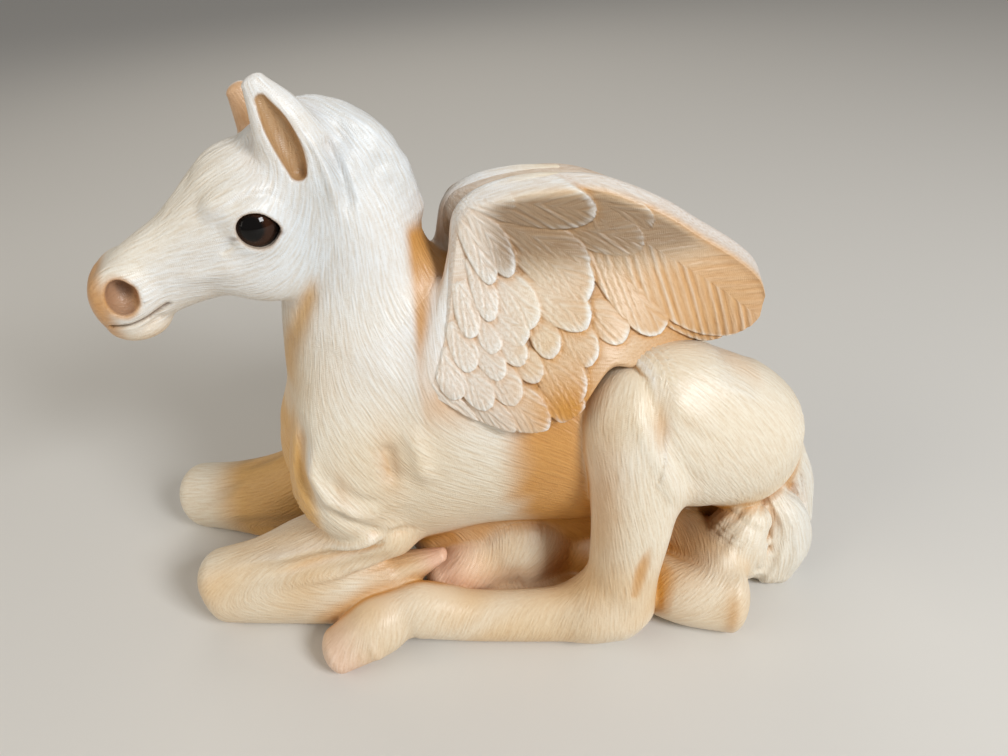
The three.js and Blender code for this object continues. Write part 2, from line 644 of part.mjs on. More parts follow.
const ground = below(UNDERSIDE);
const holes = Object.values(PINS).map(pinHole);
const room = (bodies) => lofts(bodies, { grow: CLEARANCE });
const leftHind = [LEFT_THIGH, LEFT_SHIN, LEFT_CANNON];
const rightHind = [RIGHT_THIGH, RIGHT_SHIN, RIGHT_CANNON];
const leftFore = [LEFT_FOREARM, LEFT_FORE_CANNON];
const rightFore = [RIGHT_FOREARM, RIGHT_FORE_CANNON];
const tail = [TAIL_DOCK, TAIL_LOCK, TAIL_CURL];
const leftHindRoom = room(leftHind);
const rightHindRoom = room(rightHind);
const leftForeRoom = room(leftFore);
const rightForeRoom = room(rightFore);
const tailRoom = room(tail);
const headRoom = headAndNeck(CLEARANCE);
const limbRooms = [leftHindRoom, rightHindRoom, leftForeRoom, rightForeRoom, tailRoom];
const wingRoom = (side) => join([wingPlate(side, CLEARANCE), wingArm(side, CLEARANCE)]);
const wingRooms = [wingRoom(LEFT), wingRoom(RIGHT)];

const root = new THREE.Group();
root.position.set(-BASE_MIDDLE[0], -BASE_MIDDLE[1], -UNDERSIDE);

function addMesh(name, geometry, [colour, roughness, metalness]) {
  const material = new THREE.MeshStandardMaterial({ color: colour, roughness, metalness });
  const mesh = new THREE.Mesh(geometry, material);
  mesh.name = name;
  root.add(mesh);
  return mesh;
}

function addCasting(name, solid, tools, finish) {
  addMesh(name, geometryOf(cut(solid, [...tools, ground, ...holes])), finish);
}

addCasting("trunk", trunk(), [headRoom, ...wingRooms, ...limbRooms], WARM_IVORY);
addCasting("head_and_neck", headAndNeck(), headPits(), COOL_WHITE);
addCasting("left_wing", wing(LEFT), [leftHindRoom, headRoom], WARM_IVORY);
addCasting("right_wing", wing(RIGHT), [headRoom], WARM_IVORY);
addCasting("left_hind_leg", lofts(leftHind), [], WARM_IVORY);
addCasting("left_foreleg", lofts(leftFore), [leftHindRoom], WARM_IVORY);
addCasting("right_hind_leg", lofts(rightHind), [leftHindRoom, leftForeRoom], WARM_IVORY);
addCasting("right_foreleg", lofts(rightFore), [], WARM_IVORY);
addCasting("tail", lofts(tail), [leftHindRoom, rightHindRoom], WARM_IVORY);

for (const [name, side] of [["left_eye", LEFT], ["right_eye", RIGHT]]) {
  addMesh(name, eyeBall(0), EYE_GLASS).position.copy(eyePlace(side));
}

for (const [name, pin] of Object.entries(PINS)) {
  const mesh = addMesh(name, pinGeometry(pin), STEEL);
  mesh.position.copy(pin.at);
  mesh.quaternion.copy(pinTurn(pin));
}

export default root;
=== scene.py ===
"""Looks of a lying winged foal, an ornament of cast and painted pieces with two glass eyes.

Sizes are millimetres in the frame the castings were drawn in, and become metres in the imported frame.
The castings are skins of smooth fields, and the wings are height fields on a curved plate.
"""

import math

import bpy
import numpy as np
import openvdb
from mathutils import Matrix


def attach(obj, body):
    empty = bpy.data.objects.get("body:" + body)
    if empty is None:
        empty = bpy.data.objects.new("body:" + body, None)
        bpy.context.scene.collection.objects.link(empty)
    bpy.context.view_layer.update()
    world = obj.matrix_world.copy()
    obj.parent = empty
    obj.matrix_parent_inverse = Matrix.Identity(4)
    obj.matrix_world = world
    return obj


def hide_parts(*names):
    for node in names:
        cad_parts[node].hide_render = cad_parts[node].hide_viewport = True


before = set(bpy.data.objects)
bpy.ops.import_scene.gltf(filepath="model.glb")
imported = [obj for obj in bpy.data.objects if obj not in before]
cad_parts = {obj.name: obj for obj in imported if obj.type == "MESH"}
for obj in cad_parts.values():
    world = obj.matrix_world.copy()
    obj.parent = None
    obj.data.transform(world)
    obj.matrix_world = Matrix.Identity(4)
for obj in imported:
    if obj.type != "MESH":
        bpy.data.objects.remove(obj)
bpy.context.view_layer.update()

MM = 0.001
SHIFT = np.array([-17.0, -10.0, 0.0])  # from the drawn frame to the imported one
FAR = 14.0  # a body is not measured beyond this distance
LAP = 1.0  # how far neighbouring castings run under each other at a seam
DIVE = 0.4  # how steeply a casting dives under its neighbour there
SOFT_SEAM, FLOW_SEAM = 0.6, 3.0  # how softly paint and hair change from one casting to the next
COARSE = 4  # fine cells along one coarse cell
CHUNK = 200000  # points measured at a time
# The hollows felt for set the painted shade and the painted highlight
NEAR_PROBE, WIDE_PROBE = 1.2, 5.0  # how far off the skin its hollows are felt for
MARGIN = 3  # room left round a casting in its grid
SHELL_SHARE = 0.03  # a separate shell with a smaller share of the vertices is a crumb
GROUND_ROUND = 0.8  # rounding of the edge where a casting meets the ground
CELL = 0.52
HEAD_CELL = 0.376
TRUNK_CELL = 0.63
WING_COUNTS = ((400, 150, 44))  # along, across the outer and the inner face
EYE_COUNTS = (64, 40)  # round and from pole to pole

# Head frame: where the head's middle plane starts at the poll, and how far it turns to the left
POLL = np.array([-34.0, -1.0, 0.0])
HEAD_TURN = math.radians(17)
HEAD_ALONG = np.array([-math.cos(HEAD_TURN), -math.sin(HEAD_TURN), 0.0])
HEAD_OUT = np.array([math.sin(HEAD_TURN), -math.cos(HEAD_TURN), 0.0])
UP = np.array([0.0, 0.0, 1.0])
LEFT, RIGHT = 1, -1

# Bodies, as stations: centre x, y, z, half width, half depth
STATIONS = {
    "trunk": [
        [-43, 1, 40, 13, 17], [-36, 1, 43, 20, 28], [-24, 1, 47, 24.5, 34], [-6, 1, 50, 26, 32],
        [14, 1, 47, 26, 29], [30, 2, 41, 22, 25], [44, 3, 37, 17, 22], [55, 2, 33, 14, 18],
        [62, 0, 28.5, 11, 13.5],
    ],
    "belly": [
        [-26, 10, 27, 13, 22], [-10, 12, 25, 15, 30], [14, 12, 24, 15, 30], [38, 8, 22, 16, 26],
        [52, 4, 18, 14, 18], [61, 2, 15, 8, 12],
    ],
    "under_belly": [
        [-20, -2, 14, 9, 10], [-6, -3, 16, 10, 11], [8, -3, 17, 10, 12], [22, -3, 17, 11, 12],
    ],
    "left_shoulder": [
        [-22, -11, 66, 9, 11], [-30, -14, 53, 11.5, 14], [-34.5, -15, 41, 11.5, 13.5],
        [-33, -14.5, 32, 10, 9.5],
    ],
    "right_shoulder": [[-25, 13, 64, 9, 11], [-32, 14, 50, 11, 14], [-36, 13, 36, 11, 14]],
    "neck": [
        [-27, 1, 54, 19, 20], [-28, 0, 64, 17, 19.3], [-28.5, -0.5, 74, 14.5, 17.2],
        [-28, -1, 85, 12.3, 15.2], [-28, -2, 96, 11, 12.5], [-30, -3, 105, 9.5, 9.5],
    ],
    "mane": [
        [-40, -4.8, 113.2, 2.6, 2.8], [-32, -3, 115.2, 3.6, 4.4], [-23.8, -2, 111.4, 3.8, 4.8],
        [-19, -1.5, 104.4, 3.8, 4.4], [-17, -1, 97, 3, 3.6],
    ],
    "left_forearm": [
        [-29, -15.5, 28, 8, 8.5], [-44, -14.5, 21.5, 7.5, 7.5], [-58, -13.8, 15.5, 7.6, 6.5],
        [-70.5, -13.6, 10.4, 8.2, 8.5],
    ],
    "left_fore_cannon": [
        [-70, -14, 7.5, 7.8, 7.5], [-56, -16.5, 8.5, 7, 8.5], [-42, -17.8, 10, 6.8, 10],
        [-30, -17.2, 12, 5.6, 7], [-24.6, -17, 14.6, 4, 3.8], [-17.6, -17.5, 18, 2, 1.4],
    ],
    "right_forearm": [
        [-44, 8, 25, 9, 11.5], [-58, 11.5, 16.8, 9.2, 11], [-73, 16.5, 11.5, 8.8, 9.8],
        [-85.5, 20, 9.4, 8.3, 9.4],
    ],
    "right_fore_cannon": [[-84, 20, 6, 6, 6], [-66, 13.5, 6, 6.4, 6.4], [-50, 9.5, 7, 6.4, 6.4]],
    "left_thigh": [
        [53.5, -8.5, 33, 11, 14], [47, -12.5, 42.5, 13.5, 18.5], [36, -16, 51, 14, 18.8],
        [26.5, -19, 56.2, 11, 15.6], [22.6, -21, 57.5, 8.4, 10.6],
    ],
    "left_shin": [
        [26, -21, 55, 8.4, 10], [25.8, -24, 48, 8.6, 10.2], [25, -26.5, 34, 8, 8.8],
        [23.2, -28, 20, 7.4, 7.8], [22.2, -29, 10, 7, 8.2],
    ],
    "left_cannon": [
        [22, -29, 8.6, 6.8, 7.6], [8, -28, 6.9, 5.8, 6.6], [-10, -26.4, 6.5, 5.6, 6.1],
        [-22, -25.4, 8.6, 6.2, 7], [-27.6, -26, 8.6, 5.6, 6.3], [-32.6, -27.8, 7.6, 6.6, 7],
        [-37, -29.2, 6, 6.8, 6], [-42.5, -31, 4, 6.4, 4.4],
    ],
    "hock_hollow": [  # beside the tendon, taken away
        [28, -36, 35, 0.8, 0.8], [26.2, -36.4, 27.5, 1.9, 1.7], [24.8, -36.4, 20, 1, 1],
    ],
    "right_thigh": [
        [55, 12, 26, 10, 15], [45, 15.5, 26, 12, 19], [32, 17, 25, 12, 19], [22, 16, 22, 9, 14],
    ],
    "right_shin": [[24, 14, 20, 8, 9], [36, -4, 13, 8, 8.5], [47, -23, 11, 6.6, 8]],
    "right_cannon": [
        [48.4, -29.2, 8.2, 6.2, 8.2], [37, -25.5, 8.4, 6.4, 8], [26, -17, 8.2, 6, 8.4],
        [14, -9.5, 8, 6, 8.4], [2, -9.8, 11, 9, 11.4], [-6.5, -11.5, 9.6, 6.6, 7.4],
        [-13.5, -13.5, 8, 7, 7], [-18.5, -15, 7, 5, 5.4],
    ],
    "leg_web": [  # low, between the hind legs
        [-8, -18, 1, 5, 3], [6, -17.5, 1.5, 6, 4.5], [22, -22, 2, 5, 5],
    ],
    "tail_dock": [
        [62, 1, 34, 4.2, 4.4], [68, -1, 28.5, 3.2, 3.6], [70.5, -4, 21, 2.4, 3.6], [69, -8.5, 13, 3, 4.6],
    ],
    "tail_lock": [
        [61, -11.5, 22.5, 3.8, 4], [63.5, -12.4, 17.5, 6, 6.4], [64, -13, 10.5, 7.2, 7.6],
        [62, -13.5, 4, 6.8, 7],
    ],
    "tail_curl": [
        [57.5, -14.5, 7, 5.4, 5.6], [53, -16.5, 11, 6.8, 7], [52, -17.5, 17.5, 7, 7],
        [54.5, -16.8, 22, 5, 5],
    ],
}
# Bodies that are carried along a straight axis, or have a flatter dome at one end
CARRIED = {
    "trunk": {"along": (1, 0, 0)},
    "belly": {"along": (1, 0, 0)},
    "under_belly": {"along": (1, 0, 0)},
    "neck": {"caps": (0.3, 0.8)},
    "right_cannon": {"caps": (0.6, 0.8)},
}
# Bodies of each casting, with the width in which each melts into those before it
MEMBERS = {
    "trunk": {"trunk": 0, "belly": 6, "under_belly": 3, "left_shoulder": 3.5, "right_shoulder": 6},
    "left_wing_arm": {"left_wing_arm": 0},
    "right_wing_arm": {"right_wing_arm": 0},
    "head_and_neck": {"skull": 0, "neck": 4, "mane": 4, "left_ear": 3, "right_ear": 3},
    "left_hind_leg": {"left_thigh": 0, "left_shin": 6, "left_cannon": 2.5},
    "right_hind_leg": {"right_thigh": 0, "right_shin": 5, "right_cannon": 2.5, "leg_web": 3},
    "left_foreleg": {"left_forearm": 0, "left_fore_cannon": 1.6},
    "right_foreleg": {"right_forearm": 0, "right_fore_cannon": 1.6},
    "tail": {"tail_dock": 1.4, "tail_lock": 1.4, "tail_curl": 1.4},
}
HOCK_SOFT, HOCK_SPAN = 7, (13, 24)  # how much wider the near cannon melts in, and where along x that ends
HOCK_ROUND = 1.4  # rounding of the hollow's edge
# Width in which a casting melts into the trunk, for those where it is the same all over
SEAMS = {"head_and_neck": 9.0, "left_wing_arm": 5.0, "right_wing_arm": 5.0, "tail": 2.0}
# Strands of the tail: depth, number round the path, turn along it
STRANDS = [(0.14, 7, 0.2), (0.12, 15, -0.2)]

# Head: along, height of the top and of the bottom, half width
HEAD = [
    [-3, 110.5, 90, 8.5], [4, 113.2, 86.5, 11], [11, 113.6, 84.8, 11.8], [17, 111.8, 84.6, 11],
    [22, 107.6, 84.6, 9.2], [28, 102.2, 83.6, 7], [33, 99.3, 82, 6.3], [38, 96.4, 81, 6.8],
    [41.2, 94, 82, 6],
]
# In the head frame: along, out to the side, height, then three half sizes or a half width and a half depth
CHEEK = [9.5, 6.4, 92.5, 9.5, 5.4, 8.5]
BROW = [12, 8.6, 104.6, 6.5, 3.4, 3.2]
NOSTRIL_RIM = [37.4, 4.4, 90.2, 4.9, 3.5, 5.2]
NOSTRIL_PIT = [37.4, 7.2, 90.5, 2.5, 3.8, 3.4]
CHIN = [37, 0, 82, 5.5, 4.6, 3.2]
LEFT_EAR = [
    [0.6, 6.2, 102, 3, 5.4], [1.4, 7.4, 109, 3.6, 6.4], [3.4, 7.8, 117, 3.2, 5.2],
    [6.2, 7.2, 123.6, 1.5, 2.2],
]
LEFT_EAR_HOLLOW = [
    [2.2, 10.4, 108.6, 1.6, 1.4], [2.9, 10.7, 112.5, 2, 2.1], [4.3, 10.2, 117.2, 1.8, 2],
    [5.8, 9.2, 121.3, 0.7, 0.9],
]
RIGHT_EAR = [
    [2.6, -6.2, 102, 3, 5], [4, -7.2, 108, 3.6, 5.6], [6.4, -7.6, 114.5, 3.2, 4.6],
    [9, -7, 120, 1.6, 2.2],
]
RIGHT_EAR_HOLLOW = [
    [4.6, -9.6, 106.5, 1.7, 1.5], [5.6, -10, 111, 2.2, 2.4], [7.4, -9.8, 115.5, 1.9, 2.2],
    [9, -8.6, 119, 0.7, 0.9],
]
EAR_FOLD = [  # behind each ear, down to the jaw
    [-1.2, 10, 108, 1.4, 2], [-4.2, 10.6, 101.5, 1.5, 2], [-5.4, 10.2, 96, 1, 1.3],
]
EYE_PLACE = [11.4, 8.7, 100.4]
EYE_RADIUS = 4.6
LID_RADIUS = 5.4
EYE_OPENING = [3.5, 3.3]  # half length and half height of the gap between the lids

# Wing plates
WING_THICK = 4.4
WING_TOP_OUT, WING_SIDE_OUT = 7.5, 25.4
WING_LEAN = [96, 58]
WING_TUCK = [18, 45]
BODY_MIDDLE = 1.0
WING_SHIFT = {LEFT: (0, 0), RIGHT: (-3, -3)}  # in x and z
WING_LEADING = [
    [-17.5, 68.5], [-13.8, 71.5], [-10.6, 80], [-8.5, 90.4], [-6.4, 98.6], [-1, 101.8], [9.3, 103.3],
    [20, 102.6], [31.5, 97.6], [39.4, 92.4], [47.2, 87], [51.6, 82.6], [53.6, 77.4],
]
WING_TRAILING = [
    [-17, 66.8], [-12.5, 63.8], [-6, 60], [2, 58.2], [9, 59], [15, 62], [21, 68.5], [26.2, 67.4],
    [33, 66.8], [39, 65.4], [44.8, 65.6], [50.2, 68.4], [53, 72.6],
]
# Arm of the left wing, from the shoulder along the leading edge: x, z, lift off the plate, two half sizes
WING_ARM = [
    [-16, 62, -5, 2.6, 3], [-13.6, 69, -2.6, 2.2, 2.6], [-10.2, 77.5, -1.2, 1.7, 2],
    [-7.4, 88.5, -0.6, 1.4, 1.6], [-5.6, 97, -0.2, 1.4, 1.5], [-0.4, 100.8, -0.2, 1.4, 1.4],
    [8, 102.4, -0.2, 1.2, 1.2], [17, 102.2, -0.3, 0.9, 0.9],
]
# Feathers on the plate: root x, z, tip x, z, half width, lift of the tip
FEATHERS = [
    [-14, 67.5, -11.5, 60, 2.6, 0.9], [-11.3, 73, -9.2, 66, 2.6, 0.9], [-8.7, 77.5, -6, 71, 2.4, 0.9],
    [-10.6, 64.5, -6.7, 57.5, 2.6, 1.1], [-5, 65, 0.7, 58.5, 3, 1.2], [0.3, 66.5, 7.3, 59.5, 3.7, 1.3],
    [8.4, 67, 14.3, 62, 3.3, 1.2], [-7.7, 71, -3.2, 64.5, 2.8, 1.1], [-2.8, 71, 2.8, 66, 2.8, 1.1],
    [8, 72, 14.4, 65, 3.9, 1.1], [2.6, 73, 7.3, 69.5, 2.3, 1.0], [-4.6, 75, 0, 70, 2.3, 1.1],
    [-0.8, 76.2, 4.6, 72.5, 2.3, 1.2], [6.6, 78, 10.3, 73, 2.5, 1.3], [12, 77, 17.7, 71.5, 3, 0.9],
    [18, 79, 24.5, 74.5, 2.8, 0.8], [-0.9, 80.2, 5.2, 75.8, 2.6, 1.3], [0.6, 85, 7, 78, 3.1, 1.3],
    [7, 83, 17.3, 78, 3.4, 1.6], [6.8, 89.5, 18, 82.3, 4.2, 1.5], [2, 94.5, 18, 87, 3.2, 1.1],
    [-3.7, 80, -1, 74, 2.3, 1.0], [-7, 83.7, -5.4, 76.4, 2.2, 0.9], [-4, 87.5, -1.5, 79, 2.2, 1.1],
    [-5.3, 95, -0.7, 85, 2.3, 1.2], [-4, 97.5, 3, 86, 2.6, 1.2], [27.7, 81, 45.5, 66.5, 3.2, 0.9],
    [19.5, 88.5, 32.3, 73.3, 4.2, 1.2], [24, 92, 53, 71.5, 9, 2.0], [14.5, 102.5, 32.5, 97.5, 2, 1.0],
    [18, 98.5, 30.3, 93.5, 2.8, 1.5], [14.3, 93.5, 28.5, 90, 3.4, 1.7], [-2, 100, 19.5, 96.5, 4.3, 1.6],
    [-3.3, 99.3, 4.7, 99.5, 2.6, 1.2],
]
BARB_PITCH, BARB_DEPTH = 1.1, 0.08
LEAF_EDGE = 0.35  # width in which a feather's edge drops to what lies under it
LEAF_BOW = 0.12  # sideways bow of a feather as a share of its length
LEAF_WIDER = 1.16  # how much a leaf overlaps its neighbours
LEAF_ROOTED = 0.25  # share of its length that runs on under those before it
RIM_HIGH, RIM_WIDE = 0.6, 1.8  # raised rim along the leading edge
HUG_ROUND = 2.0  # rounding where the plate leaves the body's side
FLANK_STEP = 1.5  # grid on which the trunk's side is measured for the plate

# Creases and ridges on the left side in x, z: points, width, depth, with a ridge as a negative depth
SIDE_LINES = [
    ([[-41.8, 62], [-41.6, 56], [-43, 50], [-42, 44], [-38.6, 40]], 1.4, 1.4),
    ([[-39.4, 58], [-40.6, 51], [-38, 45.6], [-33, 41.4], [-28, 37.4]], 1.5, -1.4),
    ([[-36.6, 52], [-35.2, 48], [-31, 44.4], [-26, 41.6]], 1.3, 0.6),
    ([[-24.5, 58], [-24.4, 52], [-24, 46]], 1.8, 1.4),
    ([[-19.5, 62], [-18.2, 54], [-18, 45]], 2.2, -1.4),
    ([[-37.8, 45], [-34.6, 38.5], [-29.5, 32.5], [-20, 29]], 1.5, 1.2),
    ([[22.5, 66.5], [27, 57.5], [31.5, 47], [34, 40]], 1.8, -0.6),
    ([[27, 66], [30.5, 57], [35, 48], [38, 41]], 2.2, 0.7),
    ([[30, 67], [35, 62], [41, 56.5]], 2.4, -0.6),
    ([[41, 69.5], [46.5, 65], [53, 60]], 1.8, 0.6),
    ([[-62, 17], [-47.8, 22.4], [-38.6, 25.8], [-31, 28.8], [-24, 31.4]], 1.1, 1.5),
    ([[-72, 17.4], [-57, 22.2], [-48.6, 25.4], [-39.4, 28.6], [-30, 31.8], [-22, 34.6]], 1.2, -1.3),
    ([[-56, 15], [-45.5, 18.3], [-40, 19.3], [-34.3, 21.4], [-27, 24.4]], 1.4, -1.2),
    ([[-34, 11], [-33.4, 7], [-32.2, 2]], 1.0, -0.5),
]
# Furrow of the throat on the near side in x, z
THROAT = [[-33.2, 91], [-35.8, 85], [-39.5, 78.4], [-43.4, 71.9], [-45.4, 66.2]]
THROAT_WIDE, THROAT_DEEP = 1.8, 0.6
# Line between the lips in along, height
MOUTH = [[41, 84.4], [37.5, 84.4], [34.5, 85], [30.5, 86.8]]
MOUTH_WIDE, MOUTH_DEEP = 0.5, 0.8
# Creases and ridges on the head in along, height, on both sides
HEAD_LINES = [
    ([[36.5, 82.2], [34, 83.6], [31.5, 84.8]], 0.6, 0.4),
    ([[15.5, 98.8], [17, 97.8], [18.8, 96.4]], 0.6, 0.45),
    ([[15, 94], [21, 92.5], [28, 91.5]], 1.6, -0.5),
    ([[5.5, 104.6], [8.5, 106], [11.5, 106.3], [14, 105.6], [16.5, 103.8]], 0.8, 0.5),
    ([[33.6, 94], [35.2, 90], [35, 86.8]], 1.0, 0.35),
    ([[-0.9, 116], [-1.4, 113], [-2.4, 108.6], [-2.8, 104.4], [-2, 101]], 0.9, -1.0),
    ([[-3, 114.5], [-3.6, 112], [-4.8, 107.5], [-5, 103], [-4, 99]], 1.2, 1.1),
]

# Named paints, in display values. Ochre, gold, tan, umber and taupe are also used as painted warm shade, slate
# as a painted shadow, shade as painted cool shade and cool light, and white as painted highlight on ridges
PAINTS = {
    "ivory": (0.910, 0.852, 0.750),
    "white": (0.925, 0.930, 0.930),
    "cream": (0.930, 0.900, 0.835),
    "ochre": (0.800, 0.570, 0.260),
    "tan": (0.720, 0.580, 0.420),
    "umber": (0.420, 0.300, 0.200),
    "mauve": (0.590, 0.480, 0.450),
    "pink": (0.925, 0.770, 0.670),
    "slate": (0.600, 0.640, 0.670),
    "shade": (0.760, 0.810, 0.850),
    "taupe": (0.550, 0.460, 0.360),
    "gold": (0.870, 0.670, 0.340),
    "speck": (0.160, 0.130, 0.110),
    "iris": (0.200, 0.110, 0.060),
    "pupil": (0.045, 0.035, 0.030),
}
# Painted shade in the deep places, with a slate painted shadow of the wing on the croup: paint, most, middle,
# size
PAINTED_SHADES = [
    ("ochre", 0.45, (-24.3, -28, 52), (2.4, 9, 8)),
    ("ochre", 0.9, (13, -13, 10), (7, 9, 11)),
    ("umber", 0.45, (15, -12, 4), (8, 8, 4)),
    ("ochre", 0.9, (37, -20, 21), (7, 10, 7)),
    ("tan", 0.95, (41.5, -16, 19.4), (4.5, 7, 5)),
    ("umber", 0.55, (42, -14, 20.5), (5, 8, 4)),
    ("ochre", 0.3, (-31, -23, 16), (5, 5, 5)),
    ("ochre", 0.55, (46.5, -34, 9), (1.5, 5, 6)),
    ("ochre", 0.25, (-34.4, -27, 48), (1.6, 9, 4)),
    ("ochre", 0.5, (29.4, -30, 60), (1.6, 7, 4)),
    ("ochre", 0.5, (18, -31, 45), (4, 9, 18)),
    # painted shadow of the wing on the croup
    ("slate", 0.8, (40, -13, 66.5), (4, 5, 3)),
]
# Pink hooves: casting, middle, size
HOOVES = [
    ("left_hind_leg", (-41, -31, 3), (5.5, 8, 7)),
    ("right_hind_leg", (-15, -15, 8), (7, 8, 8)),
    ("left_foreleg", (-18, -18, 18), (4, 5, 3.4)),
]
# Dark specks
SPECKS = [(23.5, -31, 62), (21.5, -31.5, 56.5), (39, -29.5, 63)]
# Castings with shorter and fainter strokes of hair
HAIR_LENGTH = {"head_and_neck": 0.7, "left_hind_leg": 0.6, "right_hind_leg": 0.8}
# How hair lies by itself on some castings
LIE = {"left_hind_leg": (0.4, 0, -1), "right_hind_leg": (0, -0.6, -0.4), "trunk": (1, 0, -0.8)}
OWN_LIE = 1.2  # weight of that lie against the headings of the bodies
# Strokes of hair: noise waves to a millimetre and their slant, samples along a stroke and their distance
STROKE_SCALE, STROKE_SLANT, STROKE_TAPS, STROKE_STRIDE = 2.1, (0.6, 0.4, 0.9), 9, 0.37
STROKE_GAIN = 4.8  # how much the strokes stand out
GRAIN_SCALE, GRAIN_SHARE = 1.4, 0.2  # grain of the paint, and its share in the height
BETWEEN_STROKES = (0.86, 0.76, 0.62)  # display tint between the strokes
TINT_MOST, TINT_FADE = 0.42, (0.1, 0.75)  # its share, and the stroke heights between which it fades out
BUMP_STRENGTH = 0.7
CASTING_COAT, CASTING_COAT_ROUGHNESS = 0.12, 0.3

# Lamps, aimed at the figure's middle: name, place, size, power, colour
AIM = (0.0, 0.0, 0.05)
LAMPS = [
    ("key", (0.42, -0.46, 0.46), 0.22, 4.4, (0.96, 0.98, 1.0)),
    ("fill", (-0.6, -0.25, 0.4), 0.5, 1.5, (1.0, 0.93, 0.82)),
    ("back", (-0.1, 0.6, 0.6), 0.5, 1.0, (1.0, 0.93, 0.82)),
]
FLOOR_REACH, FLOOR_COLOUR = 4.0, (0.86, 0.85, 0.83)
WORLD_COLOUR, WORLD_STRENGTH = (1.0, 0.97, 0.93, 1), 0.24
CAMERA_PLACE = (-0.017, -0.153, 0.150)
CAMERA_DOWN, CAMERA_ROLL = 33.7, -4.3  # degrees below the horizon, and turned about the line of sight
CAMERA_LENS = 27.04


def linear(display):
    """A display colour as a scene-linear one."""
    value = np.asarray(display, float)
    return np.where(value <= 0.04045, value / 12.92, ((value + 0.055) / 1.055) ** 2.4)


PAINT = {name: linear(value) for name, value in PAINTS.items()}


def ease(value, start, end):
    """0 before start, 1 after end, with a smooth rise between."""
    t = np.clip((value - start) / (end - start), 0, 1)
    return t * t * (3 - 2 * t)


def melt(a, b, width):
    """The smaller of two fields, rounded where they are within width of each other."""
    near = np.maximum(width - np.abs(a - b), 0) / width
    return np.minimum(a, b) - near * near * width / 4


def carve(a, b, width):
    """Field a with body b taken away, its edge rounded by width."""
    return -melt(-a, b, width)


def unit(vectors):
    """Vectors of length 1 in the same directions."""
    return vectors / np.maximum(np.linalg.norm(vectors, axis=-1, keepdims=True), 1e-9)


def curve(points, per_span=8):
    """Points along a Catmull-Rom curve: each span is a cubic whose slopes are half its neighbours' chord."""
    p = np.asarray(points, float)
    p = np.vstack([2 * p[0] - p[1], p, 2 * p[-1] - p[-2]])
    t = (np.arange(per_span) / per_span)[None, :, None]
    a, b, c, d = (p[k:len(p) - 3 + k][:, None] for k in range(4))
    spans = b + 0.5 * t * (c - a + t * (2 * a - 5 * b + 4 * c - d + t * (3 * (b - c) + d - a)))
    return np.vstack([spans.reshape(-1, p.shape[1]), p[-2]])


def line_place(p, points):
    """Distance of each point from a line of straight pieces, and the nearest place on it from 0 to 1."""
    points = np.asarray(points, np.float32)
    best = np.full(len(p), np.inf, np.float32)
    place = np.zeros(len(p), np.float32)
    for k, (a, b) in enumerate(zip(points[:-1], points[1:])):
        t = np.clip(((p - a) @ (b - a)) / ((b - a) @ (b - a)), 0, 1)
        gap = np.linalg.norm(p - a - t[:, None] * (b - a), axis=1)
        place = np.where(gap < best, (k + t) / (len(points) - 1), place)
        best = np.minimum(best, gap)
    return best, place


def line_gap(p, points):
    """Distance of each point from a line of straight pieces."""
    return line_place(p, points)[0]


def fold(p, points, width):
    """1 on a line and falling off beside it as a bell, faded out towards both of its ends."""
    gap, place = line_place(p, points)
    return ease(place, 0, 0.3) * (1 - ease(place, 0.7, 1)) * np.exp(-(gap / width) ** 2)


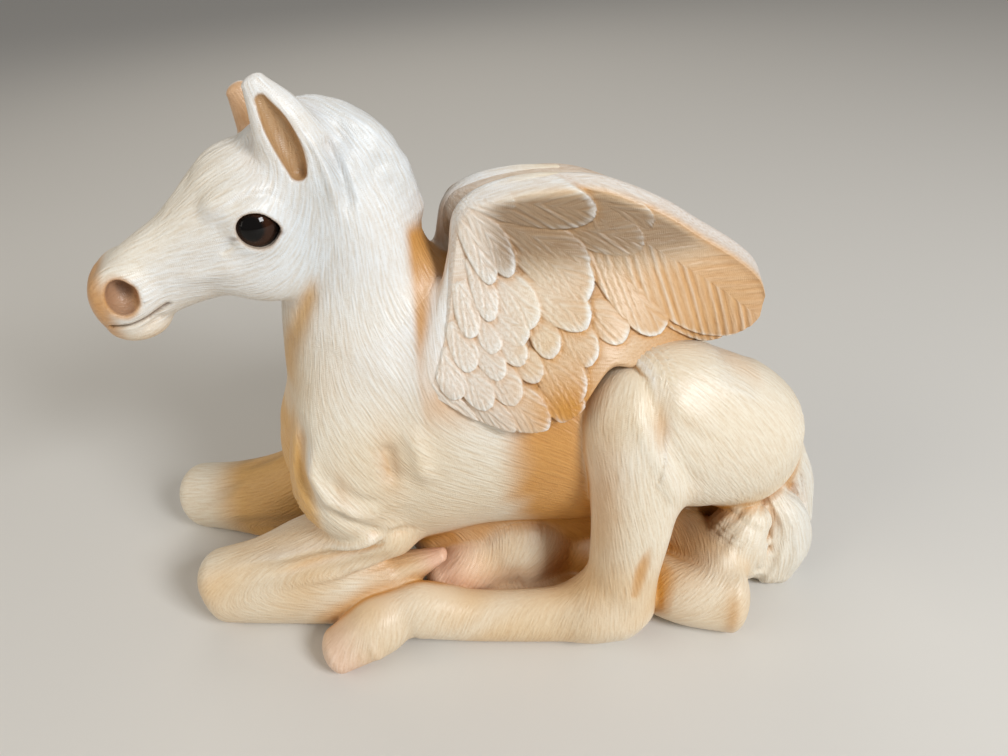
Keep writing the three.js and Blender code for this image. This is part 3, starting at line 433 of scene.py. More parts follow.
class Body:
    """A profile carried along a path: an ellipse whose half width and half depth run along a curve through
    the stations, with a dome at each end. Its field at a point is r - r / q, where r is the distance from the
    path and q the same distance measured in half sizes, so it is 0 on the skin and negative inside."""

    # Columns of the table of places along the path
    CENTRE, SIDE, RISE, HEADING = (slice(k, k + 3) for k in (0, 3, 6, 9))
    HALF = slice(12, 14)

    def __init__(self, stations, along=None, across=(0, 1, 0), caps=(0.8, 0.8)):
        rows = curve(stations)
        self.centre = rows[:, :3].astype(np.float32)
        self.along = None if along is None else np.asarray(along, np.float32)
        heading = np.gradient(rows[:, :3], axis=0) if along is None else np.tile(along, (len(rows), 1))
        self.step = np.linalg.norm(np.gradient(rows[:, :3], axis=0), axis=1).astype(np.float32)
        heading = unit(heading)
        across = np.asarray(across, float)
        side = unit(across - (heading @ across)[:, None] * heading)
        rise = np.cross(heading, side)
        self.table = np.hstack([rows[:, :3], side, rise, heading, rows[:, 3:5]]).astype(np.float32)
        self.caps = caps
        reach = rows[:, 3:5].max() + FAR
        self.low = rows[:, :3].min(0) - reach
        self.high = rows[:, :3].max(0) + reach

    def place(self, p):
        """Place along the path, offsets across, up and beyond its ends, heading and half sizes there."""
        count = len(self.centre)
        if self.along is not None:
            where = np.interp(p @ self.along, self.centre @ self.along, np.arange(count))
        else:
            gap = (self.centre * self.centre).sum(1) - 2 * (p @ self.centre.T)
            near = gap.argmin(1)
            ahead = ((p - self.centre[near]) * self.table[near, self.HEADING]).sum(1)
            where = np.clip(near + ahead / self.step[near], 0, count - 1)
        first = np.minimum(where.astype(int), count - 2)
        share = (where - first)[:, None].astype(np.float32)
        row = self.table[first] * (1 - share) + self.table[first + 1] * share
        d = p - row[:, self.CENTRE]
        heading = row[:, self.HEADING]
        beyond = (d * heading).sum(1)
        after = np.where(where >= count - 1, np.maximum(beyond, 0), 0)
        beyond = np.where(where <= 0, np.minimum(beyond, 0), after)
        across = (d * row[:, self.SIDE]).sum(1)
        up = (d * row[:, self.RISE]).sum(1)
        return where, across, up, beyond, heading, row[:, self.HALF]

    def near(self, p):
        """Whether each point is close enough to be measured."""
        return ((p > self.low) & (p < self.high)).all(1)

    def distance(self, p):
        """The field: distance from the path less the same in half sizes, cut off at FAR."""
        found = np.full(len(p), FAR, np.float32)
        rows = np.flatnonzero(self.near(p))
        for part in np.array_split(rows, len(rows) // CHUNK + 1):
            _, a, b, beyond, _, half = self.place(p[part])
            cap = np.where(beyond < 0, *self.caps) * half.min(1)
            r = np.maximum(np.sqrt(a * a + b * b + beyond * beyond), 1e-3)
            q = np.sqrt((a / half[:, 0]) ** 2 + (b / half[:, 1]) ** 2 + (beyond / cap) ** 2)
            found[part] = np.minimum(r - r / np.maximum(q, 1e-4), FAR)
        return found


class Egg:
    """A scaled ball in the head frame, with the same kind of field as a carried profile."""

    def __init__(self, sizes, side):
        self.centre = head_point(sizes[0], sizes[1] * side, sizes[2]).astype(np.float32)
        self.half = np.asarray(sizes[3:], np.float32)

    def distance(self, p):
        """The field: distance from the middle less the same in half sizes, cut off at FAR."""
        d = (p - self.centre) @ HEAD_FRAME
        r = np.maximum(np.linalg.norm(d, axis=1), 1e-3)
        return np.minimum(r - r / np.maximum(np.linalg.norm(d / self.half, axis=1), 1e-4), FAR)


def head_point(along, out, height):
    """A place in the head frame as a place in the drawn frame."""
    return POLL + HEAD_ALONG * along + HEAD_OUT * out + UP * height


HEAD_FRAME = np.stack([HEAD_ALONG, HEAD_OUT, UP], axis=1).astype(np.float32)


def head_place(p):
    """Along, out and height of each point in the head frame."""
    return (p - POLL.astype(np.float32)) @ HEAD_FRAME


def head_body(stations, side=LEFT):
    """A body whose stations are written in the head frame, for one side of the head."""
    placed = [[*head_point(s[0], s[1] * side, s[2]), s[3], s[4]] for s in stations]
    return Body(placed, across=HEAD_OUT)


SKULL_STATIONS = [[*head_point(s[0], 0, (s[1] + s[2]) / 2), s[3], (s[1] - s[2]) / 2] for s in HEAD]


def wing_out(x, z):
    """Distance of the wing plate from the body's middle plane: upright above, out on the ribs below."""
    lean = ease(-z, -WING_LEAN[0], -WING_LEAN[1])
    tuck = 1 - ease(x, *WING_TUCK)
    return WING_TOP_OUT + (WING_SIDE_OUT - WING_TOP_OUT) * lean * tuck


def arm_body(side):
    """The arm of one wing, carried along the plate by its own lift."""
    shift = WING_SHIFT[side]
    return Body([
        [x + shift[0], BODY_MIDDLE - side * (wing_out(x, z) + lift), z + shift[1], wide, deep]
        for x, z, lift, wide, deep in WING_ARM
    ])


BODIES = {name: Body(stations, **CARRIED.get(name, {})) for name, stations in STATIONS.items()}
BODIES["skull"] = Body(SKULL_STATIONS, along=HEAD_ALONG, across=HEAD_OUT, caps=(0.6, 0.45))
for body_side, body_name, ear in ((LEFT, "left", LEFT_EAR), (RIGHT, "right", RIGHT_EAR)):
    BODIES[body_name + "_ear"] = head_body(ear)
    BODIES[body_name + "_wing_arm"] = arm_body(body_side)
HOLLOWS = [head_body(LEFT_EAR_HOLLOW), head_body(RIGHT_EAR_HOLLOW)]
PITS = [Egg(NOSTRIL_PIT, side) for side in (LEFT, RIGHT)]
# What is melted onto the skull, in this order, with its width
ONTO_SKULL = [(Egg(sizes, side), width) for side in (LEFT, RIGHT)
              for sizes, width in ((CHEEK, 5), (BROW, 3.5), (NOSTRIL_RIM, 3))]
ONTO_SKULL += [(Egg(CHIN, LEFT), 2.5)]
ONTO_SKULL += [(BODIES[name], width) for name, width in MEMBERS["head_and_neck"].items() if name != "skull"]
ONTO_SKULL += [(head_body(EAR_FOLD, side), 3) for side in (LEFT, RIGHT)]
ONTO_SKULL += [(Egg(EYE_PLACE + [LID_RADIUS] * 3, side), 2) for side in (LEFT, RIGHT)]
HOLLOW_ROUND, LID_ROUND = 1.0, 0.5  # rounding of the edges of hollows and lids


def eye_gap(p):
    """Field of the gaps between the lids: an oval with a drawn-out rear corner, carried out of each eye."""
    along, out, height = head_place(p).T
    a = along - EYE_PLACE[0]
    b = height - EYE_PLACE[2] - 0.1 * a
    back = ease(-a, 1.5, 6.5)
    half = EYE_OPENING[1] * (1 - 0.45 * back)
    length = EYE_OPENING[0] + 0.9 * back
    q = np.sqrt((a / length) ** 2 + (b / half) ** 2)
    r = np.sqrt(a * a + b * b)
    rim = np.maximum(r - r / np.maximum(q, 1e-4), -3)
    return np.maximum(rim, EYE_PLACE[1] + 1.5 - np.abs(out))


def side_relief(p):
    """Creases as positive and ridges as negative amounts: depth times a bell beside each line."""
    relief = np.zeros(len(p), np.float32)
    left = ease(-p[:, 1], 2, 8)
    rows = np.flatnonzero(left > 0)
    flat = p[rows][:, [0, 2]]
    for points, width, depth in SIDE_LINES + [(THROAT, THROAT_WIDE, THROAT_DEEP)]:
        relief[rows] += left[rows] * depth * fold(flat, points, width)
    return relief


def head_relief(p):
    """The same kind of creases and ridges on both sides of the head, and the line between the lips."""
    relief = np.zeros(len(p), np.float32)
    place = head_place(p)
    aside = np.abs(place[:, 1])
    rows = np.flatnonzero((place[:, 0] > -8) & (p[:, 2] > 76) & (aside > np.where(place[:, 0] > 4, 1.2, 7)))
    flat = place[rows][:, [0, 2]]
    relief[rows] += MOUTH_DEEP * np.exp(-(line_gap(flat, MOUTH) / MOUTH_WIDE) ** 2)
    for points, width, depth in HEAD_LINES:
        relief[rows] += depth * fold(flat, points, width)
    return relief


def strands(body, p):
    """Strands of hair: waves round a path whose phase turns along it."""
    relief = np.zeros(len(p), np.float32)
    rows = np.flatnonzero(body.near(p))
    if len(rows):
        where, a, b, _, _, _ = body.place(p[rows])
        angle = np.arctan2(b, a)
        for depth, count, turn in STRANDS:
            relief[rows] += depth * np.cos(count * angle + turn * where)
    return relief


def mane_relief(p):
    """Locks of the mane: waves across its path that fade out away from it."""
    relief = np.zeros(len(p), np.float32)
    mane = BODIES["mane"]
    rows = np.flatnonzero(mane.near(p))
    if len(rows):
        where, a, b, _, _, _ = mane.place(p[rows])
        away = np.hypot(a, b)
        angle = np.arctan2(b, a)
        wave = np.sin(0.9 * where + 5 * angle + 1.5 * np.sin(0.3 * where))
        wave = wave + 0.6 * np.sin(1.7 * where - 3 * angle)
        relief[rows] = 0.09 * wave * np.exp(-((np.maximum(away - 3, 0) / 5) ** 2))
    return relief


def head_group(p):
    """Head and neck: swellings, neck, mane, ears and lids melted onto the skull, less the hollows."""
    found = BODIES["skull"].distance(p)
    for body, width in ONTO_SKULL:
        found = melt(found, body.distance(p), width)
    for body in HOLLOWS + PITS:
        found = carve(found, body.distance(p), HOLLOW_ROUND)
    return carve(found, eye_gap(p), LID_ROUND) + head_relief(p) + mane_relief(p)


def tail_group(p):
    """Dock, lock and curl with their strands, melted together."""
    found = np.full(len(p), FAR, np.float32)
    for member, width in MEMBERS["tail"].items():
        body = BODIES[member]
        found = melt(found, body.distance(p) + strands(body, p), width)
    return found


def group_field(name, p):
    """Field of one casting's own bodies, melted together in turn, more widely at the near hock."""
    if name == "head_and_neck":
        return head_group(p)
    if name == "tail":
        return tail_group(p)
    (first, _), *others = MEMBERS[name].items()
    found = BODIES[first].distance(p)
    for member, width in others:
        if member == "left_cannon":
            width = width + HOCK_SOFT * (1 - ease(p[:, 0], *HOCK_SPAN))
        found = melt(found, BODIES[member].distance(p), width)
    if name == "left_hind_leg":
        found = carve(found, BODIES["hock_hollow"].distance(p), HOCK_ROUND)
    return found


def seam_width(name, p):
    """How far the skin rounds over from the trunk to a casting: wide on croup and neck, tight at folds."""
    x, y, z = p.T
    if name == "left_hind_leg":
        croup = ease(x, 24, 46) * ease(z, 26, 44)
        stifle = ease(x, 20, 31) * ease(z, 52, 62)
        return 0.9 + 9 * np.maximum(croup, stifle)
    if name == "right_hind_leg":
        return 1.2 + 6 * ease(y, 2, 12)
    if name in ("left_foreleg", "right_foreleg"):
        return 1.2 + 2.5 * ease(z, 12, 26)
    return np.full(len(p), SEAMS[name], np.float32)


def fused(p):
    """The group fields, and the field of the whole figure."""
    groups = {name: group_field(name, p) for name in MEMBERS}
    whole = groups["trunk"]
    for name in list(MEMBERS)[1:]:
        whole = melt(whole, groups[name], seam_width(name, p))
    whole = whole + side_relief(p)
    return groups, carve(whole, p[:, 2], GROUND_ROUND)


def casting_field(name):
    """Field of one casting: the whole figure, diving under and then cut where another group is nearer."""

    def field(p):
        groups, whole = fused(p)
        others = np.min([value for other, value in groups.items() if other != name], axis=0)
        beyond = (groups[name] - others) / 2
        return np.maximum(whole + DIVE * np.maximum(beyond, 0), beyond - LAP)

    return field


def skin(field, low, high, cell):
    """Quads of the zero level of a field, measured on a coarse grid, and finely only where the skin runs."""
    size = np.ceil((high - low) / (cell * COARSE)).astype(int)
    axes = [low[k] + (np.arange(size[k]) + 0.5) * cell * COARSE for k in range(3)]
    grid = np.stack(np.meshgrid(*axes, indexing="ij"), -1).reshape(-1, 3).astype(np.float32)
    values = field(grid).reshape(size)
    for axis in range(3):
        values = values.repeat(COARSE, axis)
    values = np.ascontiguousarray(values, np.float32)
    cells = np.argwhere(np.abs(values) < cell * COARSE * 1.5 + 1)
    points = (low + (cells + 0.5) * cell).astype(np.float32)
    parts = np.array_split(points, len(points) // CHUNK + 1)
    values[tuple(cells.T)] = np.concatenate([field(part) for part in parts])
    volume = openvdb.FloatGrid(background=FAR)
    volume.copyFromArray(values)
    volume.gridClass = openvdb.GridClass.LEVEL_SET
    corners, quads = volume.convertToQuads(isovalue=0.0)
    return (low + (corners + 0.5) * cell).astype(np.float32), quads[:, ::-1].astype(np.int32)


def main_shells(points, quads):
    """The skin without crumbs: vertices take the lowest number among their neighbours until none changes,
    and a number that few of them have is a crumb."""
    label = np.arange(len(points))
    while True:
        before = label.copy()
        lowest = label[quads].min(1)
        for corner in range(4):
            np.minimum.at(label, quads[:, corner], lowest)
        label = label[label]
        if (label == before).all():
            break
    kept = np.bincount(label)[label] > SHELL_SHARE * len(points)
    number = np.cumsum(kept) - 1
    return points[kept], number[quads[kept[quads[:, 0]]]].astype(np.int32)


def normals_of(points, quads):
    """Unit normals at the vertices: the summed cross products of the diagonals of the quads round each."""
    first = points[quads[:, 2]] - points[quads[:, 0]]
    second = points[quads[:, 3]] - points[quads[:, 1]]
    face = np.cross(first, second)
    total = np.zeros_like(points)
    for corner in range(4):
        for axis in range(3):
            total[:, axis] += np.bincount(quads[:, corner], face[:, axis], len(points))
    return unit(total)


def lie_of(name, p):
    """Direction of a casting's hair: the headings of its bodies, weighed by nearness, and its own lie."""
    total = np.zeros_like(p)
    for member in MEMBERS[name]:
        body = BODIES[member]
        weight = np.exp(-np.maximum(body.distance(p), -1) / 4)
        heading = body.place(p)[4]
        heading = heading * np.where(heading[:, 2:] > 0.3, -1, 1)
        total += weight[:, None] * heading
    return unit(total) + OWN_LIE * np.asarray(LIE.get(name, (0, 0, 0)))


def flow_of(groups, p, normal):
    """Direction in which the hair lies on the surface: the lies of the castings, weighed by nearness, less
    the part that points out of the surface. It is short where they disagree."""
    total = np.zeros_like(p)
    for name, amount in shares(groups, FLOW_SEAM).items():
        rows = np.flatnonzero(amount > 0.02)
        if len(rows):
            length = HAIR_LENGTH.get(name, 1.0) * amount[rows]
            total[rows] += length[:, None] * unit(lie_of(name, p[rows]))
    total = total - (total * normal).sum(1, keepdims=True) * normal
    length = np.linalg.norm(total, axis=1, keepdims=True)
    return total / np.maximum(length, 1e-6) * ease(length, 0.05, 0.6) * np.minimum(length + 0.4, 1)


def lay(colour, layers):
    """Colours with layers of paint over them in turn: a named paint each, and its share at each point."""
    for paint, share in layers:
        share = np.clip(share, 0, 1)[:, None]
        colour = colour * (1 - share) + PAINT[paint] * share
    return colour


def bell(p, centre, size):
    """1 at a place, falling to 0 over a size that may differ along x, y and z."""
    return np.exp(-(((p - np.asarray(centre)) / np.asarray(size)) ** 2).sum(1))


def mottle(p, scale):
    """Soft patches between -1 and 1: a sum of waves that run in slanting directions."""
    q = p / scale
    a = np.sin(q @ np.array([1.0, 0.7, 0.4]) + 1.3 * np.sin(q @ np.array([-0.5, 1.1, 0.8])))
    b = np.sin(q @ np.array([-0.6, 0.9, 1.2]) + 1.7 * np.sin(q @ np.array([0.9, 0.3, -1.0]) + 2.0))
    return 0.5 * (a + b)


def shares(groups, softness):
    """How much each group counts at each point: most for the nearest, less the further off it is."""
    values = np.stack(list(groups.values()))
    weight = np.exp((values.min(0) - values) / softness)
    return dict(zip(groups, weight / weight.sum(0)))


def paint_casting(on, p, normal, hollow, wide_hollow):
    """Colour of each vertex: ivory, with painted shade in ochre and umber in the hollows and on the parts in
    shade, painted highlight in white on ridges, and white on head and neck.
    """
    x, y, z = p.T
    white = ease(z + 0.3 * x, 46, 74) * ease(-x, -14, 0)
    # Painted shade in ochre where the skin is hollow
    tint_and_shade = np.clip(1.7 * wide_hollow - 0.35, 0, 1) * 0.8 + np.clip(hollow * 1.8 - 0.1, 0, 1) * 0.45
    tint_and_shade = tint_and_shade * (1 - 0.6 * on["left_foreleg"] - 0.6 * on["tail"])
    tint_and_shade = tint_and_shade * (1 - 0.7 * on["right_hind_leg"] * (1 - ease(x, 6, 13)))
    arms = on["left_wing_arm"] + on["right_wing_arm"]
    # Masks of painted warm shade: behind the neck under the wing, on the breast's edge, low on the near legs,
    # and on the near flank
    behind_neck = ease(x, -17.4, -15.4) * (1 - ease(z, 93, 97)) * ease(z, 56, 70) * (1 - ease(x, -9, -4))
    breast = ease(-x - 0.25 * (y + 22), 40.5, 43.5) * (1 - ease(z, 76, 84)) * ease(z, 20, 28)
    legs = on["left_foreleg"] + on["left_hind_leg"] + on["right_hind_leg"]
    low = (1 - ease(z, 18, 40)) * ease(-y, 6, 16) * legs
    flank = ease(-y, 4, 12) * (1 - ease(z, 60, 66)) * on["trunk"]
    # Over the tone: painted shade in ochre, umber and gold, and painted highlight in white on the ridges
    colour = lay(np.tile(PAINT["ivory"], (len(p), 1)), [
        ("cream", 0.5 + 0.5 * mottle(p, 9)),
        ("white", 0.9 * white),
        ("ochre", tint_and_shade * (1 - 0.75 * white)),
        ("umber", np.clip(hollow * 2 - 1.1, 0, 1) * 0.4),
        ("white", 0.5 * np.clip(-1.2 * hollow, 0, 1)),
        ("ochre", 0.95 * behind_neck * (1 - arms)),
        ("gold", 0.85 * breast * (on["trunk"] + on["head_and_neck"])),
        ("gold", 0.22 * low * (1 + mottle(p, 5))),
        ("ochre", 0.95 * flank * ease(x + 2 * mottle(p, 4), -4, 6)),
        ("ochre", 0.8 * flank * ease(x, -24, -8) * (1 - ease(z, 20, 30))),
    ])
    head = np.flatnonzero(on["head_and_neck"] > 0.02)
    amount = on["head_and_neck"][head][:, None]
    painted = paint_head(p[head], colour[head], normal[head], hollow[head])
    colour[head] = colour[head] * (1 - amount) + amount * painted
    # Painted warm shade in gold down the throat's furrow and on the far foreleg, which also gets mottled umber
    # veins
    gap, place = line_place(p[:, [0, 2]], THROAT)
    throat = np.exp(-((gap / (1.1 + 2 * place)) ** 2)) * ease(-y, 1, 5) * ease(place, 0, 0.3)
    veins = np.clip(mottle(p * np.array([0.5, 2.2, 1.6]), 4), 0, 1)
    far_leg = ease(x, -84, -70) * on["right_foreleg"]
    hock = (1 - ease(BODIES["hock_hollow"].distance(p), 0, 1)) * on["left_hind_leg"]
    layers = [("gold", 0.75 * throat), ("gold", 0.9 * far_leg), ("umber", 0.35 * far_leg * veins)]
    layers += [("pink", 1.3 * bell(p, centre, size) * on[hoof]) for hoof, centre, size in HOOVES]
    # Painted shade in the deep places, and the wing's painted shadow on the croup
    layers += [(paint, most * bell(p, centre, size)) for paint, most, centre, size in PAINTED_SHADES]
    # Painted cool light on the tail's end, and painted shade in ochre in the hock's hollow
    layers += [("shade", 0.3 * ease(x, 60, 70) * on["tail"]), ("ochre", 0.9 * hock)]
    for speck in SPECKS:
        away = np.linalg.norm(p - np.asarray(speck), axis=1)
        layers.append(("speck", 1 - ease(away, 0.35, 0.6)))
    return lay(colour, layers)


def paint_head(p, colour, normal, hollow):
    """Paint of the head: cream above as painted warm light, painted cool shade at jaw and ears, ochre round the
    nostrils with umber painted shade inside, painted warm shade in ochre on the muzzle's front and the far ear,
    tan ears and dark lips.
    """
    along, out, height = head_place(p).T
    side = np.abs(out)
    beside = ease(side, 8, 10)
    flat = np.stack([along, height], 1)
    # Cream on the faces turned up is painted warm light
    above = 0.75 * ease(along, 6, 20) * ease(normal[:, 2], -0.1, 0.7)
    jaw = bell(p, head_point(4, 11, 96), (10, 9, 10)) * ease(hollow, -0.4, 0.2)
    far_ear = (1 - ease(BODIES["right_ear"].distance(p), 0.5, 2)) * ease(height, 107, 112)
    rim = np.hypot(along - NOSTRIL_PIT[0], (height - NOSTRIL_PIT[2]) / 1.35)
    pit = np.min([egg.distance(p) for egg in PITS], axis=0)
    inner = np.hypot(along - NOSTRIL_PIT[0] + 0.5, (height - NOSTRIL_PIT[2] - 0.6) / 1.4)
    ear = np.min([body.distance(p) for body in HOLLOWS], axis=0)
    lips = (1 - ease(line_gap(flat, MOUTH), 0.1, 0.55)) * ease(side, 1, 2) * ease(along, 28, 31)
    return lay(colour, [
        ("cream", above + 0.3 * (1 - ease(height, 78, 92))),
        ("shade", 0.45 * jaw),
        ("shade", 0.55 * bell(p, head_point(-3.5, 9, 106.5), (5, 6, 5))),
        ("shade", 0.3 * (1 - ease(BODIES["mane"].distance(p), 0, 4))),
        # Painted warm shade in ochre on the muzzle's front and on the far ear where it faces the near side
        ("ochre", 0.8 * ease(along, 38.5, 42.5)),
        ("ochre", 0.75 * far_ear * ease(normal @ HEAD_OUT, -0.2, 0.4)),
        ("ochre", 0.75 * (1 - ease(rim, 2.5, 3.6)) * ease(side, 2, 4)),
        ("ochre", 0.7 * bell(flat, (41, 90), (1.6, 6))),
        ("mauve", 0.8 * (1 - ease(pit, -0.2, 0.3))),
        # Umber painted shade inside the nostrils
        ("umber", 0.85 * (1 - ease(inner, 0.7, 2.1)) * ease(side, 2, 4)),
        ("tan", 1 - ease(ear, 0.0, 0.35)),
        ("tan", 0.45 * (1 - ease(eye_gap(p), 0.1, 0.5)) * beside),
        ("umber", 0.7 * bell(flat, (15.7, 99.6), (0.8, 0.4)) * beside),
        ("umber", 0.7 * bell(flat, (7.7, 99.3), (0.8, 0.4)) * beside),
        ("umber", 0.75 * lips),
    ])


def add_mesh(name, points, faces, material, colour=None, flow=None):
    """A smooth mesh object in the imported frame, in metres, with colours and hair directions as attributes."""
    mesh = bpy.data.meshes.new(name)
    mesh.vertices.add(len(points))
    mesh.vertices.foreach_set("co", ((points + SHIFT) * MM).astype(np.float32).ravel())
    width = faces.shape[1]
    mesh.loops.add(faces.size)
    mesh.loops.foreach_set("vertex_index", faces.ravel())
    mesh.polygons.add(len(faces))
    mesh.polygons.foreach_set("loop_start", np.arange(0, faces.size, width, dtype=np.int32))
    mesh.update(calc_edges=True)
    mesh.validate()
    mesh.shade_smooth()
    if colour is not None:
        rgba = np.hstack([colour, np.ones((len(colour), 1))]).astype(np.float32)
        mesh.attributes.new("paint", "FLOAT_COLOR", "POINT").data.foreach_set("color", rgba.ravel())
    if flow is not None:
        values = flow.astype(np.float32).ravel()
        mesh.attributes.new("flow", "FLOAT_VECTOR", "POINT").data.foreach_set("vector", values)
    mesh.materials.append(material)
    piece = bpy.data.objects.new(name, mesh)
    bpy.context.scene.collection.objects.link(piece)
    return piece


def stand_for(piece, node):
    """Puts a piece on the one body, in place of a node of the part."""
    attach(piece, "root")
    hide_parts(node)


def nodes_of(name):
    """A new material, its node tree and its shader."""
    material = bpy.data.materials.new(name)
    material.use_nodes = True
    tree = material.node_tree
    return material, tree, tree.nodes["Principled BSDF"]


def add_node(tree, kind, inputs, **settings):
    """A shader node with its settings, and its inputs as values or as outputs of other nodes."""
    node = tree.nodes.new(kind)
    for key, value in settings.items():
        setattr(node, key, value)
    for key, value in inputs.items():
        if isinstance(value, bpy.types.NodeSocket):
            tree.links.new(value, node.inputs[key])
        else:
            node.inputs[key].default_value = value
    return node


def calc(tree, operation, first, second):
    """Output of a math node with two inputs, each a number or another node's output."""
    return add_node(tree, "ShaderNodeMath", {0: first, 1: second}, operation=operation).outputs[0]


def streaks(tree, flow, place):
    """Noise smeared along the hair: the mean of samples taken at even strides along the flow direction."""
    total = None
    for tap in range(STROKE_TAPS):
        step = [(tap - (STROKE_TAPS - 1) / 2) * STROKE_STRIDE * MM] * 3
        inputs = {0: flow, 1: step, 2: place}
        moved = add_node(tree, "ShaderNodeVectorMath", inputs, operation="MULTIPLY_ADD").outputs[0]
        turned = add_node(tree, "ShaderNodeMapping", {"Vector": moved, "Rotation": STROKE_SLANT})
        noise = add_node(tree, "ShaderNodeTexNoise", {
            "Vector": turned.outputs["Vector"], "Scale": STROKE_SCALE / MM, "Detail": 1.0,
        })
        value = noise.outputs["Fac"]
        total = value if total is None else calc(tree, "ADD", total, value)
    return calc(tree, "DIVIDE", total, float(STROKE_TAPS))


def painted_casting(name, roughness, hair_depth):
    """Painted resin: vertex paint, darker and warmer between the strokes of hair. They also raise the
    surface, with a fine grain, and are as strong as the flow attribute is long."""
    material, tree, shader = nodes_of(name)
    paint = add_node(tree, "ShaderNodeAttribute", {}, attribute_name="paint").outputs["Color"]
    flow = add_node(tree, "ShaderNodeAttribute", {}, attribute_name="flow").outputs["Vector"]
    place = add_node(tree, "ShaderNodeTexCoord", {}).outputs["Object"]
    grain = add_node(tree, "ShaderNodeTexNoise", {
        "Vector": place, "Scale": GRAIN_SCALE / MM, "Detail": 3.0,
    })
    length = add_node(tree, "ShaderNodeVectorMath", {0: flow}, operation="LENGTH").outputs["Value"]
    stroke = calc(tree, "SUBTRACT", streaks(tree, flow, place), 0.5)
    stroke = calc(tree, "MULTIPLY", stroke, STROKE_GAIN)
    stroke = calc(tree, "MULTIPLY", stroke, length)
    stroke = calc(tree, "ADD", stroke, 0.5)
    height = calc(tree, "MULTIPLY", grain.outputs["Fac"], GRAIN_SHARE)
    height = calc(tree, "ADD", height, stroke)
    level = add_node(tree, "ShaderNodeMapRange", {
        "Value": stroke, "From Min": TINT_FADE[0], "From Max": TINT_FADE[1],
        "To Min": TINT_MOST, "To Max": 0.0,
    })
    warm = add_node(tree, "ShaderNodeMix", {
        "Factor": level.outputs["Result"], "A": paint, "B": (*linear(BETWEEN_STROKES), 1),
    }, data_type="RGBA", blend_type="MULTIPLY")
    bump = add_node(tree, "ShaderNodeBump", {
        "Strength": BUMP_STRENGTH, "Distance": hair_depth * MM, "Height": height,
    })
    tree.links.new(warm.outputs["Result"], shader.inputs["Base Color"])
    tree.links.new(bump.outputs["Normal"], shader.inputs["Normal"])
    shader.inputs["Roughness"].default_value = roughness
    shader.inputs["Coat Weight"].default_value = CASTING_COAT
    shader.inputs["Coat Roughness"].default_value = CASTING_COAT_ROUGHNESS
    return material


def plain(name, colour, roughness, metallic=0.0):
    """A material of one display colour."""
    material, _, shader = nodes_of(name)
    shader.inputs["Base Color"].default_value = (*linear(colour), 1)
    shader.inputs["Roughness"].default_value = roughness
    shader.inputs["Metallic"].default_value = metallic
    return material


def eye_material():
    """Polished dark glass, coloured by the ball's own paint."""
    material, tree, shader = nodes_of("eye_glass")
    paint = add_node(tree, "ShaderNodeAttribute", {}, attribute_name="paint")
    tree.links.new(paint.outputs["Color"], shader.inputs["Base Color"])
    shader.inputs["Roughness"].default_value = 0.06
    shader.inputs["Specular IOR Level"].default_value = 0.25
    return material


def add_casting(name, material, cell):
    """One casting: its skin, drawn onto the exact level once, and painted, with shade and highlight painted by
    how hollow the figure is there.
    """
    bodies = [BODIES[member] for member in MEMBERS[name]]
    centres = [body.table[:, Body.CENTRE] for body in bodies]
    reaches = [body.table[:, Body.HALF].max() for body in bodies]
    low = np.min([(c - reach).min(0) for c, reach in zip(centres, reaches)], axis=0) - MARGIN
    high = np.max([(c + reach).max(0) for c, reach in zip(centres, reaches)], axis=0) + MARGIN
    low[2] = max(low[2], -MARGIN)
    field = casting_field(name)
    points, quads = main_shells(*skin(field, low, high, cell))
    normal = normals_of(points, quads)
    points = points - normal * np.clip(field(points), -0.3 * cell, 0.3 * cell)[:, None]
    normal = normals_of(points, quads)
    hollow = 1 - fused(points + NEAR_PROBE * normal)[1] / NEAR_PROBE
    wide_hollow = 1 - fused(points + WIDE_PROBE * normal)[1] / WIDE_PROBE
    groups = fused(points)[0]
    colour = paint_casting(shares(groups, SOFT_SEAM), points, normal, hollow, wide_hollow)
    piece = add_mesh(name + "_skin", points, quads, material, colour, flow_of(groups, points, normal))
    stand_for(piece, name.removesuffix("_arm"))


def leaf(along, widest):
    """Half width of a feather along its length, as a share: opening from the root, round at the tip."""
    root = 0.66 + 0.34 * ease(along, 0, widest)
    tip = np.sqrt(np.clip(1 - (np.maximum(along - widest, 0) / (1 - widest)) ** 2.4, 0, 1))
    return root * tip


